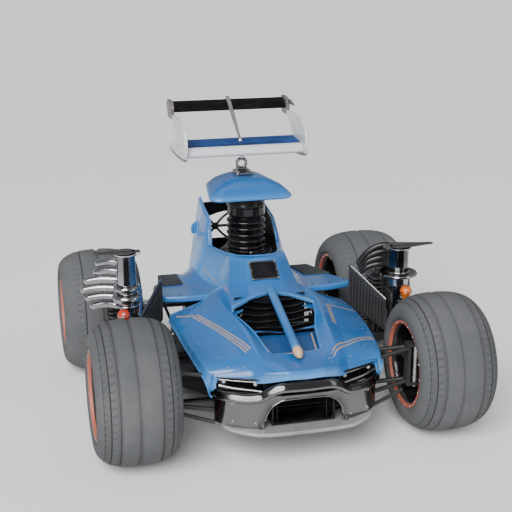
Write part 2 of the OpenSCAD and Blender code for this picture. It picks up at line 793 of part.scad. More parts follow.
module cap_ring(ring, inset) {
    corner = 26;
    translate([0, 0, ring[3] - inset]) linear_extrude(0.5) hull() both_sides()
        for (end = [[ring[0], ring[1] + inset + corner], [cap_taper * ring[0], ring[2] - inset - corner]])
            translate([end[0] - inset - corner, end[1]]) circle(r = corner, $fn = 24);
}

module mast_cap() {
    color(blue) difference() {
        hull() for (ring = cap_rings) cap_ring(ring, 0);
        hull() for (ring = cap_rings) cap_ring(ring, 4);
    }
}

eye_y = 294;
eye_z = 856;

module wing_eye() {
    color(black) {
        translate([-34, 238, 817]) cube([68, 74, 12]);
        translate([-20, eye_y - 12, 828]) cube([40, 24, 10]);
        translate([0, eye_y + 7, eye_z]) rotate([90, 0, 0]) difference() {
            cylinder(h = 14, r = 25);
            translate([0, 0, -1]) cylinder(h = 16, r = 13);
        }
        translate([0, eye_y, eye_z + 23]) cylinder(h = 24, r = 7);
    }
}

// Lower plane, swept end plates, upper plane with its end caps, and the strut between the planes
module wing() {
    plate_t = 12;
    color([0.1, 0.3, 0.6]) side_plate(-wing_half, wing_half) polygon([[246, 908], [246, 934], [310, 941],
        [374, 943], [374, 938], [310, 926]]);
    color([0.85, 0.86, 0.88]) side_plate(-wing_half, wing_half) polygon([[245, 905], [216, 902], [209, 912],
        [214, 926], [245, 934]]);
    color([0.85, 0.86, 0.88]) both_sides() side_plate(wing_half + gap, wing_half + gap + plate_t)
        polygon([[223, 889], [202, 912], [190, 940], [196, 975], [214, 1002], [246, 1022], [290, 1032],
            [470, 1030], [470, 1008], [420, 985], [392, 966], [388, 950], [430, 925], [535, 897], [530, 883],
            [380, 880]]);
    color(black) side_plate(-wing_half, wing_half) polygon([[484, 1036], [480, 1044], [496, 1056], [522, 1068],
        [552, 1076], [556, 1070], [524, 1056], [500, 1042]]);
    color([0.35, 0.3, 0.28]) both_sides() side_plate(wing_half + gap, wing_half + gap + 16)
        polygon([[470 + gap, 1008], [470 + gap, 1066], [500, 1078], [558, 1080], [572, 1068], [556, 1028],
            [530, 1008]]);
    color(steel) bar([0, 476, 1044], [0, 322, 952], 7);
    color(steel) translate([0, 314, 941.5 + gap]) cylinder(h = 14, r = 10);
}

floor_tray();
side_rails();
cross_tubes();
body_posts();
front_arms();
kingpins();
knuckle_left();
knuckle_right();
stub_nut_left();
stub_nut_right();
rack_bar();
tie_rods();
steering_actuator();
front_tyre_left();
front_rim_left();
front_tyre_right();
front_rim_right();
rear_axle();
rear_tyres();
rear_rims();
axle_nuts();
axle_sprockets();
brake_disc();
rear_bearings();
brake_caliper();
drive_chains();
drive_shaft_left();
drive_shaft_right();
engine_blocks();
engine_heads();
header_pipes();
side_radiators();
stack_left();
stack_right();
flap_left();
flap_right();
lamps();
nose_shell();
nose_panel();
louvre_slats();
spine_rod();
spine_tip();
headlights();
bumper_fascia();
bumper_lip();
intake_duct();
splitter();
splitter_stays();
side_pods();
grip_pads();
tower_cowl();
cockpit_window();
tower_brace();
side_mirror();
mast_housing();
bellows();
mast_post();
mast_cap();
wing_eye();
wing();
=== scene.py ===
"""Looks of the open-wheel kart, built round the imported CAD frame.

Shapes are in millimetres, +X is the kart's left and +Z is up."""
import json
import math

import bmesh
import bpy
from mathutils import Matrix, Vector
from mathutils.bvhtree import BVHTree


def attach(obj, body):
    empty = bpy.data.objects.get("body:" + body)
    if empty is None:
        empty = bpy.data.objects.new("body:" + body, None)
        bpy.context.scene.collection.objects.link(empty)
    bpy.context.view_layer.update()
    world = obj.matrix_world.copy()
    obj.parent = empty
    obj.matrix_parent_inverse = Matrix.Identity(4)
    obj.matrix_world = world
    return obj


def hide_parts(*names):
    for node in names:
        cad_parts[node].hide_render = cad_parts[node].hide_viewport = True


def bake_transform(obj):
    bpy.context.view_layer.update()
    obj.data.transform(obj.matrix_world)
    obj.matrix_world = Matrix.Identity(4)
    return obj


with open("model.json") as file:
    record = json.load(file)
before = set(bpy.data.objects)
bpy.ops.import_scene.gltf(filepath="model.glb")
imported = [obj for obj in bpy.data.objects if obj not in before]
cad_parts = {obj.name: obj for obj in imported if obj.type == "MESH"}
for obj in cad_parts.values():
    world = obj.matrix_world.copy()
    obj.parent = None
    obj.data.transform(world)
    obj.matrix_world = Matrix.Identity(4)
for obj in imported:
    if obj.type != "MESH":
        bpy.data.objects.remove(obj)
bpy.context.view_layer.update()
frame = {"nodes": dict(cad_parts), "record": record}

MM = 0.001
SIDES = {"left": 1, "right": -1}

# Driving dimensions, as in the CAD source
FRONT_WHEEL = {"x": 557, "y": -434, "z": 250, "radius": 250, "width": 286}
REAR_WHEEL = {"x": 567, "y": 438, "z": 246, "radius": 246, "width": 316}
MAST_Y = 221


# ---------- materials ----------

def node(tree, kind, **inputs):
    """A shader node with its input sockets set by name."""
    made = tree.nodes.new("ShaderNode" + kind)
    for key, value in inputs.items():
        made.inputs[key.replace("_", " ")].default_value = value
    return made


def noise(tree, coords, scale, detail=4.0, roughness=0.55):
    made = node(tree, "TexNoise", Scale=scale, Detail=detail, Roughness=roughness)
    tree.links.new(coords, made.inputs["Vector"])
    return made.outputs["Fac"]


def spread(tree, value, low, high, start=0.3, end=0.7):
    """The value's range start..end stretched to low..high."""
    made = node(tree, "MapRange", From_Min=start, From_Max=end, To_Min=low, To_Max=high)
    tree.links.new(value, made.inputs["Value"])
    return made.outputs["Result"]


def mixed(tree, factor, a, b):
    """Colour a turning into colour b as factor goes from 0 to 1; each is a colour or a socket."""
    made = tree.nodes.new("ShaderNodeMix")
    made.data_type = "RGBA"
    tree.links.new(factor, made.inputs["Factor"])
    for socket, colour in ((made.inputs[6], a), (made.inputs[7], b)):
        if isinstance(colour, bpy.types.NodeSocket):
            tree.links.new(colour, socket)
        else:
            socket.default_value = (*colour, 1)
    return made.outputs[2]


def bump(tree, height, strength, distance, below=None):
    made = node(tree, "Bump", Strength=strength, Distance=distance)
    tree.links.new(height, made.inputs["Height"])
    if below is not None:
        tree.links.new(below, made.inputs["Normal"])
    return made.outputs["Normal"]


EDGE_HIGHLIGHT_RANGE = (0.515, 0.57)    # pointiness over which an edge goes from its own colour to a painted highlight
GROOVE_SHADE_RANGE = (0.38, 0.475)   # pointiness over which a groove goes from painted shade to its own colour


def pointiness(tree):
    """How sharply the surface bends: above 0.5 on edges, below 0.5 in grooves."""
    return tree.nodes.new("ShaderNodeNewGeometry").outputs["Pointiness"]


def material(name, colour, roughness, metallic=0.0, coat=0.0, coat_roughness=0.05,
             patches=None, patch_scale=6.0, patch_edge=(0.45, 0.75), rough_range=0.08, rough_scale=25.0,
             grain=(600.0, 0.1, 0.0003), ripple=None, edges=None, painted_groove_shade=None, stretch=(1, 1, 1), shine=0.5):
    """Principled material whose colour, gloss and surface vary over the piece.

    patches is the colour of the worn or dusty areas. grain and ripple are the (scale, strength, depth) of the
    fine and the coarse relief. edges is a painted highlight colour laid on convex edges, and the groove colour
    a painted shade laid in grooves. stretch drags the pattern out along an axis. shine is the mirror image's
    strength under the coat."""
    made = bpy.data.materials.new(name)
    made.use_nodes = True
    tree = made.node_tree
    shader = tree.nodes["Principled BSDF"]
    shader.inputs["Base Color"].default_value = (*colour, 1)
    shader.inputs["Metallic"].default_value = metallic
    shader.inputs["Specular IOR Level"].default_value = shine
    shader.inputs["Coat Weight"].default_value = coat
    shader.inputs["Coat Roughness"].default_value = coat_roughness
    place = node(tree, "Mapping", Scale=stretch)
    tree.links.new(tree.nodes.new("ShaderNodeTexCoord").outputs["Object"], place.inputs["Vector"])
    coords = place.outputs["Vector"]
    base = colour
    if patches is not None:
        worn = spread(tree, noise(tree, coords, patch_scale, 6.0, 0.6), 0, 1, *patch_edge)
        base = mixed(tree, worn, colour, patches)
    # edges: a painted highlight, a lighter colour on convex edges
    if edges is not None:
        base = mixed(tree, spread(tree, pointiness(tree), 0, 1, *EDGE_HIGHLIGHT_RANGE), base, edges)
    # groove colour: painted shade, a darker colour in grooves
    if painted_groove_shade is not None:
        base = mixed(tree, spread(tree, pointiness(tree), 1, 0, *GROOVE_SHADE_RANGE), base, painted_groove_shade)
    if isinstance(base, bpy.types.NodeSocket):
        tree.links.new(base, shader.inputs["Base Color"])
    gloss = spread(tree, noise(tree, coords, rough_scale, 5.0), max(0.02, roughness - rough_range),
                   min(1.0, roughness + rough_range))
    tree.links.new(gloss, shader.inputs["Roughness"])
    relief = bump(tree, noise(tree, coords, grain[0], 3.0), grain[1], grain[2])
    if ripple is not None:
        relief = bump(tree, noise(tree, coords, ripple[0], 2.0), ripple[1], ripple[2], relief)
    tree.links.new(relief, shader.inputs["Normal"])
    return made


# the rubber's groove colour is painted shade darkening the tread grooves
RUBBER = material("rubber", (0.09, 0.093, 0.097), 0.88, shine=0.15, patches=(0.12, 0.123, 0.128),
                  patch_scale=5, rough_range=0.1, grain=(900, 0.35, 0.0006), ripple=(60, 0.25, 0.0012),
                  painted_groove_shade=(0.02, 0.02, 0.021))
# edges= here and below is a painted highlight, a lighter colour laid on convex edges
CORAL = material("coral_ring", (0.33, 0.045, 0.025), 0.5, patches=(0.16, 0.09, 0.08), patch_scale=30,
                 grain=(500, 0.3, 0.0004), edges=(0.42, 0.12, 0.08))
RIM_BLACK = material("rim_black", (0.006, 0.006, 0.007), 0.16, coat=0.3, shine=0.3,
                     patches=(0.03, 0.03, 0.033), patch_scale=14, ripple=(40, 0.08, 0.0006),
                     edges=(0.06, 0.06, 0.063))
FRAME_BLACK = material("frame_black", (0.005, 0.005, 0.006), 0.38, coat=0.05, shine=0.25,
                       patches=(0.014, 0.014, 0.013), patch_scale=18, grain=(700, 0.25, 0.0003),
                       edges=(0.04, 0.04, 0.04))
STEEL = material("steel", (0.42, 0.43, 0.45), 0.28, metallic=1.0, patches=(0.28, 0.27, 0.26), patch_scale=22,
                 rough_range=0.12, grain=(900, 0.2, 0.0002), stretch=(1, 1, 6))
CHAIN_STEEL = material("chain_steel", (0.14, 0.135, 0.13), 0.35, metallic=1.0, patches=(0.05, 0.045, 0.04),
                       patch_scale=40, rough_range=0.15, grain=(400, 0.5, 0.0006))
CALIPER_RED = material("caliper_red", (0.4, 0.035, 0.025), 0.3, coat=0.5, patches=(0.28, 0.03, 0.025),
                       patch_scale=15)
ENGINE_BLACK = material("engine_black", (0.004, 0.004, 0.005), 0.16, coat=0.15, shine=0.25,
                        patches=(0.03, 0.03, 0.032), patch_scale=12, ripple=(35, 0.12, 0.0012),
                        edges=(0.05, 0.05, 0.053))
CHROME = material("chrome", (0.27, 0.275, 0.285), 0.14, metallic=1.0, patches=(0.12, 0.12, 0.125),
                  patch_scale=16, rough_range=0.1, ripple=(45, 0.15, 0.001), edges=(0.6, 0.6, 0.62))
BODY_BLUE = material("body_blue", (0.018, 0.125, 0.37), 0.3, coat=0.35, coat_roughness=0.12, shine=0.4,
                     patches=(0.015, 0.105, 0.32), patch_scale=4, rough_scale=9, grain=(500, 0.05, 0.0002),
                     ripple=(14, 0.05, 0.0015), edges=(0.07, 0.25, 0.56))
PANEL_BLUE = material("panel_blue", (0.01, 0.065, 0.2), 0.42, coat=0.15, shine=0.3,
                      patches=(0.008, 0.05, 0.16), patch_scale=9, ripple=(20, 0.05, 0.001))
VENT_BLACK = material("vent_black", (0.003, 0.003, 0.004), 0.2, coat=0.05, shine=0.25,
                      patches=(0.014, 0.014, 0.017), patch_scale=10, ripple=(25, 0.1, 0.0012))
TIP_TAN = material("tip_tan", (0.62, 0.4, 0.25), 0.45, patches=(0.5, 0.29, 0.17), patch_scale=18,
                   grain=(500, 0.15, 0.0004))
STRIPE_TAN = material("stripe_tan", (0.36, 0.27, 0.22), 0.5, patches=(0.24, 0.2, 0.19), patch_scale=45,
                      grain=(700, 0.2, 0.0002))
BLACK_CHROME = material("black_chrome", (0.11, 0.108, 0.105), 0.12, metallic=1.0,
                        patches=(0.055, 0.054, 0.054), patch_scale=8, rough_range=0.07,
                        ripple=(28, 0.16, 0.0016), edges=(0.4, 0.4, 0.41))
SPLITTER_GREY = material("splitter_grey", (0.24, 0.24, 0.235), 0.4, coat=0.2, patches=(0.15, 0.15, 0.15),
                         patch_scale=20, grain=(500, 0.3, 0.0005), edges=(0.4, 0.4, 0.4))
PAD_GREY = material("pad_grey", (0.045, 0.047, 0.05), 0.88, shine=0.15, patches=(0.075, 0.078, 0.082),
                    patch_scale=25, grain=(260, 0.9, 0.0016))
BELLOWS_BLACK = material("bellows_black", (0.004, 0.004, 0.005), 0.18, coat=0.2, shine=0.3,
                         patches=(0.02, 0.02, 0.021), patch_scale=15, ripple=(30, 0.12, 0.001))
WING_WHITE = material("wing_white", (0.56, 0.58, 0.6), 0.34, coat=0.3, patches=(0.47, 0.48, 0.5),
                      patch_scale=7, ripple=(18, 0.05, 0.001), edges=(0.75, 0.75, 0.76))
LENS = material("headlight_lens", (0.45, 0.47, 0.5), 0.06, coat=1.0, patches=(0.3, 0.31, 0.33), patch_scale=60,
                ripple=(200, 0.5, 0.001))
WING_BLUE = material("wing_blue", (0.006, 0.05, 0.2), 0.5, shine=0.15, patches=(0.003, 0.018, 0.08),
                     patch_scale=9, patch_edge=(0.5, 0.6), stretch=(1, 7, 1))
WING_BLACK = material("wing_black", (0.003, 0.003, 0.004), 0.6, shine=0.08, patches=(0.012, 0.011, 0.01),
                      patch_scale=12, patch_edge=(0.55, 0.7), stretch=(1, 4, 1))
STRUT_GREY = material("strut_grey", (0.24, 0.24, 0.25), 0.35, metallic=0.4, patches=(0.15, 0.15, 0.155),
                      patch_scale=20, grain=(500, 0.3, 0.0004))
CAP_BROWN = material("cap_brown", (0.07, 0.058, 0.05), 0.35, metallic=0.6, patches=(0.16, 0.14, 0.125),
                     patch_scale=24, grain=(400, 0.5, 0.0008), edges=(0.3, 0.28, 0.26))
# near black: painted shade, used on the shells' inner sides and the sheet under the vent
PAINTED_SHADE_LINER = material("painted_shade_liner", (0.006, 0.006, 0.007), 0.75, shine=0.15, patches=(0.012, 0.012, 0.013),
                       patch_scale=12, grain=(400, 0.3, 0.0005))
LAMP_RED = material("lamp_red", (0.55, 0.04, 0.01), 0.15, coat=0.4, shine=0.4, patches=(0.4, 0.03, 0.01),
                    patch_scale=30, ripple=(120, 0.4, 0.002))
LAMP_AMBER = material("lamp_amber", (0.72, 0.15, 0.002), 0.15, coat=0.4, shine=0.4,
                      patches=(0.45, 0.08, 0.001), patch_scale=30, ripple=(120, 0.4, 0.002))

SLOT_MATERIALS = {
    "frame_black": FRAME_BLACK, "steel": STEEL, "chain_steel": CHAIN_STEEL, "tyre_rubber": RUBBER,
    "rim_black": RIM_BLACK, "caliper_red": CALIPER_RED, "engine_black": ENGINE_BLACK, "chrome": CHROME,
    "lamp_amber": LAMP_AMBER, "body_blue": BODY_BLUE, "panel_blue": PANEL_BLUE, "vent_black": VENT_BLACK,
    "tip_tan": TIP_TAN, "black_chrome": BLACK_CHROME, "splitter_grey": SPLITTER_GREY, "pad_grey": PAD_GREY,
    "bellows_black": BELLOWS_BLACK, "wing_white": WING_WHITE,
}


def paint_cad_nodes():
    """Every CAD node that stays visible takes the material of its slot."""
    for part in frame["record"]["subparts"]:
        mesh = frame["nodes"][part["node"]].data
        mesh.materials.clear()
        mesh.materials.append(SLOT_MATERIALS[part["material_slot"]])


# ---------- shapes: each is (points in millimetres, faces) ----------

def turned(profile, segments, at=(0, 0, 0), axis="x", closed=True):
    """Outline of (radius, along) pairs turned about the X or Z axis through at. An outline that starts and
    ends on the axis is not closed."""
    points, faces = [], []
    rings = len(profile)
    for step in range(segments):
        angle = 2 * math.pi * step / segments
        for radius, along in profile:
            u, v = radius * math.cos(angle), radius * math.sin(angle)
            local = (along, u, v) if axis == "x" else (u, v, along)
            points.append(tuple(a + b for a, b in zip(at, local)))
    for step in range(segments):
        here, there = step * rings, (step + 1) % segments * rings
        for i in range(rings if closed else rings - 1):
            j = (i + 1) % rings
            faces.append((here + i, here + j, there + j, there + i))
    return points, faces


def lathe(profile, segments, at=(0, 0, 0)):
    """Solid turned about the Z axis through at, from a profile that starts and ends on that axis."""
    return turned(profile, segments, at, "z", closed=False)


def smooth_path(path, steps=6):
    """Points of a Catmull-Rom curve through the path."""
    ends = [Vector(path[0])] + [Vector(p) for p in path] + [Vector(path[-1])]
    out = []
    for a, b, c, d in zip(ends, ends[1:], ends[2:], ends[3:]):
        for i in range(steps):
            t = i / steps
            out.append(0.5 * (2 * b + (c - a) * t + (2 * a - 5 * b + 4 * c - d) * t * t
                              + (3 * b - a - 3 * c + d) * t ** 3))
    return out + [ends[-1]]


def swept(path, radius, sides=16):
    """Round bar along the path with closed ends; radius is one number, or one per point."""
    path = [Vector(p) for p in path]
    radii = radius if isinstance(radius, (list, tuple)) else [radius] * len(path)
    if len(radii) != len(path):
        radii = [radii[0] + (radii[-1] - radii[0]) * i / (len(path) - 1) for i in range(len(path))]
    side = None
    points, faces = [], []
    for i, centre in enumerate(path):
        ahead = (path[min(i + 1, len(path) - 1)] - path[max(i - 1, 0)]).normalized()
        if side is None and abs(ahead.x) > 0.9:
            side = ahead.orthogonal().normalized()
        elif side is None:
            side = ahead.cross(Vector((1, 0, 0))).normalized()
        side = (side - ahead * side.dot(ahead)).normalized()
        up = ahead.cross(side)
        for k in range(sides):
            angle = 2 * math.pi * k / sides
            points.append(tuple(centre + radii[i] * (side * math.cos(angle) + up * math.sin(angle))))
    for i in range(len(path) - 1):
        for k in range(sides):
            k2 = (k + 1) % sides
            faces.append((i * sides + k, i * sides + k2, (i + 1) * sides + k2, (i + 1) * sides + k))
    faces.append(tuple(range(sides)))
    faces.append(tuple(range(len(points) - sides, len(points))))
    return points, faces


IN_SPACE = {
    "xy": lambda a, b, across: (a, b, across),
    "yz": lambda a, b, across: (across, a, b),
    "xz": lambda a, b, across: (a, across, b),
}


def slab(outline, low, high, plane="xy"):
    """Outline drawn in a plane and extruded from low to high along the axis across it."""
    n = len(outline)
    points = [IN_SPACE[plane](*p, across) for across in (low, high) for p in outline]
    faces = [(i, (i + 1) % n, (i + 1) % n + n, i + n) for i in range(n)]
    return points, faces + [tuple(range(n)), tuple(range(n, 2 * n))]


def block(low, high):
    return slab([(low[0], low[1]), (high[0], low[1]), (high[0], high[1]), (low[0], high[1])], low[2], high[2])


def grid(rows):
    """Open surface through rows of points."""
    wide = len(rows[0])
    faces = [(j * wide + i, j * wide + i + 1, (j + 1) * wide + i + 1, (j + 1) * wide + i)
             for j in range(len(rows) - 1) for i in range(wide - 1)]
    return [tuple(p) for row in rows for p in row], faces


def lofted(rings):
    """Closed rings joined one to the next, with the first and the last filled."""
    n = len(rings[0])
    faces = [(j * n + i, j * n + (i + 1) % n, (j + 1) * n + (i + 1) % n, (j + 1) * n + i)
             for j in range(len(rings) - 1) for i in range(n)]
    last = (len(rings) - 1) * n
    return [tuple(p) for ring in rings for p in ring], faces + [tuple(range(n)), tuple(range(last, last + n))]


def joined(*shapes):
    points, faces = [], []
    for some, more in shapes:
        start = len(points)
        points += some
        faces += [tuple(i + start for i in face) for face in more]
    return points, faces


def shift(x, y, z):
    return Matrix.Translation((x, y, z))


def pointing(direction):
    """Rotation that turns +Z into the direction."""
    return Vector(direction).to_track_quat("Z", "Y").to_matrix().to_4x4()


def moved(shape, matrix):
    return [tuple(matrix @ Vector(p)) for p in shape[0]], shape[1]


def flipped(shape):
    """Mirror image in the kart's middle plane."""
    return [(-x, y, z) for x, y, z in shape[0]], [tuple(reversed(face)) for face in shape[1]]


def both(shape):
    return joined(shape, flipped(shape))


def mirrored(half):
    """Half outline from the centre line outwards, closed with its mirror image."""
    other = [(-x, y) for x, y in reversed(half) if x != 0]
    return list(half) + other


def full_row(row):
    """Half cross-section from the centre line outwards, with its mirror image in front."""
    return [(-x, y, z) for x, y, z in reversed(row[1:])] + list(row)


def bolt(at, direction, radius=5, height=4):
    """Hexagon head with a washer under it."""
    washer = lathe([(0, 0), (radius * 1.35, 0), (radius * 1.35, 0.8), (0, 0.8)], 16)
    head = lathe([(0, 0.8), (radius, 0.8), (radius, height - 0.6), (radius - 0.7, height), (0, height)], 6)
    return moved(joined(washer, head), shift(*at) @ pointing(direction))


def rivet(at, direction, radius=3.2):
    """Low dome with its rim just under the surface."""
    dome = [(0, -1), (radius, -1)] + [(radius * math.cos(a), 0.45 * radius * math.sin(a))
                                      for a in (0.0, 0.5, 1.0)] + [(0, 0.45 * radius)]
    return moved(lathe(dome, 14), shift(*at) @ pointing(direction))


# ---------- pieces ----------

def piece(name, shape, look, body="chassis", replaces=(), smooth=35, bevel=0, segments=3, levels=0,
          thick=0, liner=None, cutters=()):
    """One object from a shape. bevel and thick are in millimetres, and smooth is the angle up to which faces
    are shaded as one. liner is the material of a skin's inner side. cutters are shapes taken away."""
    mesh = bpy.data.meshes.new(name)
    mesh.from_pydata([Vector(p) * MM for p in shape[0]], [], shape[1])
    work = bmesh.new()
    work.from_mesh(mesh)
    bmesh.ops.remove_doubles(work, verts=work.verts, dist=1e-6)
    bmesh.ops.dissolve_degenerate(work, edges=work.edges, dist=1e-7)
    bmesh.ops.recalc_face_normals(work, faces=work.faces)
    if thick and sum(face.normal.z * face.calc_area() for face in work.faces) < 0:
        bmesh.ops.reverse_faces(work, faces=work.faces)
    work.to_mesh(mesh)
    work.free()
    mesh.materials.append(look)
    if liner is not None:
        mesh.materials.append(liner)
    obj = bpy.data.objects.new(name, mesh)
    bpy.context.scene.collection.objects.link(obj)
    if levels:
        step = obj.modifiers.new("subdivide", "SUBSURF")
        step.levels = step.render_levels = levels
    if thick:
        step = obj.modifiers.new("skin", "SOLIDIFY")
        step.thickness = thick * MM
        step.offset = -1
        if liner is not None:
            step.material_offset = 1
    if cutters:
        cut_away(obj, cutters)
    if bevel:
        step = obj.modifiers.new("bevel", "BEVEL")
        step.width = bevel * MM
        step.segments = segments
        step.limit_method = "ANGLE"
        step.angle_limit = math.radians(32)
        step.miter_outer = "MITER_ARC"
    apply_modifiers(obj)
    obj.data.shade_smooth()
    obj.data.set_sharp_from_angle(angle=math.radians(smooth))
    if bevel:
        obj.modifiers.new("normals", "WEIGHTED_NORMAL").keep_sharp = True
    if replaces:
        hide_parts(*replaces)
    if body is not None:
        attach(obj, body)
    return obj


def apply_modifiers(obj):
    if not obj.modifiers:
        return
    depsgraph = bpy.context.evaluated_depsgraph_get()
    mesh = bpy.data.meshes.new_from_object(obj.evaluated_get(depsgraph))
    obj.modifiers.clear()
    obj.data = mesh


def cut_away(obj, cutters):
    """Takes the solids in cutters away from the object."""
    for points, faces in cutters:
        mesh = bpy.data.meshes.new("cutter")
        mesh.from_pydata([Vector(p) * MM for p in points], [], faces)
        work = bmesh.new()
        work.from_mesh(mesh)
        bmesh.ops.recalc_face_normals(work, faces=work.faces)
        work.to_mesh(mesh)
        work.free()
        tool = bpy.data.objects.new("cutter", mesh)
        bpy.context.scene.collection.objects.link(tool)
        step = obj.modifiers.new("cut", "BOOLEAN")
        step.operation = "DIFFERENCE"
        step.solver = "EXACT"
        step.object = tool
        apply_modifiers(obj)
        bpy.data.objects.remove(tool)


# ---------- wheels ----------

SIPES = 56            # lateral cuts round each shoulder
RIM_RATIO = 0.6       # radius of the bead seat over the tyre's
BEAD_RATIO = 0.4      # half width at the beads over the tyre's width
WALL_RATIO = 0.64     # radius where the sidewall is widest over the tyre's
CROWN_RATIO = 1 - WALL_RATIO
CROWN_POWER = 2.6     # 2 is an ellipse; more is squarer
NARROW_GROOVE_AT = 0.24  # over the tyre's width
NARROW_GROOVE = ((6.5, 0), (3.2, 0.9), (1.9, 6.0), (-1.9, 6.0), (-3.2, 0.9), (-6.5, 0))  # (across, depth)
WIDE_GROOVE = ((14, 0), (10, 1.4), (6.5, 6.4), (2.5, 7.6))  # half of the one on the middle line
WHEEL_BOLTS = 6
RING_BOLTS = 18


def crown(radius, width, x):
    """Radius of the smooth tyre at x from its middle plane."""
    sine = min(1.0, (2 * abs(x) / width) ** 1.3)
    return WALL_RATIO * radius + CROWN_RATIO * radius * (1 - sine * sine) ** (1 / CROWN_POWER)


def tyre_section(radius, width):
    """Closed outline of (radius, x, sipe depth) from one bead over the tread to the other and back inside."""
    seat = RIM_RATIO * radius
    wall = WALL_RATIO * radius
    bead = BEAD_RATIO * width
    side = []
    for degrees in (88, 82, 75, 67, 59, 51, 44, 38):
        sine, cosine = math.sin(math.radians(degrees)), math.cos(math.radians(degrees))
        x = sine ** (2 / CROWN_POWER) * width / 2
        swell = 1.2 if degrees in (75, 67) else 0
        side.append((wall + CROWN_RATIO * radius * cosine ** (2 / CROWN_POWER), x + swell, 0))
    shoulder = [(crown(radius, width, k * width), k * width, depth)
                for k, depth in ((0.425, 0), (0.405, 1.4), (0.37, 2.2), (0.33, 2.2), (0.29, 2.0))]
    narrow = []
    for across, depth in NARROW_GROOVE:
        x = NARROW_GROOVE_AT * width + across
        narrow.append((crown(radius, width, x) - depth, x, 1.5 if across == NARROW_GROOVE[0][0] else 0))
    middle = [(crown(radius, width, k * width), k * width, 0) for k in (0.17, 0.11)]
    wide = [(crown(radius, width, x) - depth, x, 0) for x, depth in WIDE_GROOVE]
    half = [(seat + 10, bead + 0.5, 0), (seat + 9, bead + 19, 0), (seat + 11, bead + 22, 0),
            (wall + 5, width / 2 - 3, 0), (wall + 11, width / 2 - 1, 0)]
    outer = half + side[1:] + shoulder + narrow + middle + wide
    inner_radius = radius - 15
    inside = [(seat + 1, bead - 26, 0), (0.72 * radius, width / 2 - 16, 0), (0.86 * radius, 0.43 * width, 0),
              (0.94 * radius - 6, 0.33 * width, 0), (inner_radius, 0.12 * width, 0)]
    start = [(seat, bead - 24, 0), (seat, bead, 0)]
    right = start + outer
    left = [(r, -x, d) for r, x, d in reversed(right)]
    return right + left + [(r, -x, d) for r, x, d in inside] + [(r, x, d) for r, x, d in reversed(inside)]


def tyre_shape(wheel, side):
    """Tyre turned about the axle, with a sipe pressed into both shoulders at each of its pitches."""
    section = tyre_section(wheel["radius"], wheel["width"])
    centre = (side * wheel["x"], wheel["y"], wheel["z"])
    # each step is (place in the pitch, share of the sipe's depth)
    steps = ((0.0, 0), (0.04, 1), (0.085, 1), (0.125, 0), (0.42, 0), (0.72, 0))
    points, faces = [], []
    for pitch in range(SIPES):
        for place, share in steps:
            for radius, x, depth in section:
                slant = 0.035 * max(0.0, abs(x) / wheel["width"] - 0.25) / 0.2
                angle = 2 * math.pi * (pitch + place) / SIPES + slant
                r = radius - share * depth
                points.append((centre[0] + x, centre[1] + r * math.cos(angle), centre[2]
                               + r * math.sin(angle)))
    n, turns = len(section), SIPES * len(steps)
    for step in range(turns):
        here, there = step * n, (step + 1) % turns * n
        faces += [(here + i, here + (i + 1) % n, there + (i + 1) % n, there + i) for i in range(n)]
    return points, faces


def bead_rings(wheel, side):
    """The coloured bead-lock rings bolted to both edges of the rim."""
    seat = RIM_RATIO * wheel["radius"]
    edge = BEAD_RATIO * wheel["width"]
    shapes = []
    for face in (-1, 1):
        band = [(seat - 4, edge + 8.7), (seat - 4, edge + 18), (seat - 1.5, edge + 20.4),
                (seat + 5, edge + 21), (seat + 8.4, edge + 19.5), (seat + 8.4, edge + 8.7)]
        shapes.append(turned([(r, face * x) for r, x in band], 120,
                             (side * wheel["x"], wheel["y"], wheel["z"])))
    return joined(*shapes)


def rim_shapes(wheel, side, hub_radius, hub_in, hub_out):
    """Barrel with rolled lips, dished disc with round windows, hub barrel and wheel bolts."""
    seat = RIM_RATIO * wheel["radius"] - 0.6
    half = BEAD_RATIO * wheel["width"]
    centre = (side * wheel["x"], wheel["y"], wheel["z"])
    lip = [(seat, half - 24), (seat - 1, half - 6), (seat + 1, half + 2.2), (seat + 6.5, half + 3.2),
           (seat + 8.4, half + 4.5), (seat + 8.4, half + 7), (seat + 5.5, half + 8.6), (seat - 2, half + 7.6),
           (seat - 6, half + 4), (seat - 8, half - 6), (seat - 15, half - 30)]
    barrel = [(seat - 8, 0), (seat - 8, half - 30)] + lip + [(seat - 15, 0)]
    loop = barrel + [(r, -x) for r, x in reversed(barrel[1:-1])]
    disc = [(hub_radius + 4, 4), (hub_radius + 14, 4), (0.36 * seat, 12), (0.78 * seat, 12), (seat - 13, 3),
            (seat - 13, 16), (0.78 * seat, 22), (0.36 * seat, 22), (hub_radius + 14, 16), (hub_radius + 4, 16)]
    hub = [(hub_radius + 0.4, hub_in), (hub_radius + 13, hub_in), (hub_radius + 16, hub_in + 3),
           (hub_radius + 16, hub_out - 5), (hub_radius + 13, hub_out), (hub_radius + 0.4, hub_out)]
    hole = [(0, -20), (0.2 * seat, -20), (0.2 * seat, 60), (0, 60)]
    pitch = 2 * math.pi / WHEEL_BOLTS

    def round_axle(x, radius, angle):
        return centre[0] + x, centre[1] + radius * math.cos(angle), centre[2] + radius * math.sin(angle)

    def turned_here(outline):
        return turned([(r, side * x) for r, x in outline], 144, centre)

    windows = [turned([(r, side * x) for r, x in hole], 40, round_axle(0, 0.6 * seat, pitch * i), closed=False)
               for i in range(WHEEL_BOLTS)]
    bolts = [bolt(round_axle(side * 22, 0.33 * seat, pitch * (i + 0.5)), (side, 0, 0), 6, 7)
             for i in range(WHEEL_BOLTS)]
    bolts += [bolt(round_axle(face * (half + 20.6), seat + 2, 2 * math.pi * i / RING_BOLTS), (face, 0, 0),
                   2.2, 2.2) for face in (-1, 1) for i in range(RING_BOLTS)]
    return joined(turned_here(loop), turned_here(hub)), turned_here(disc), windows, joined(*bolts)


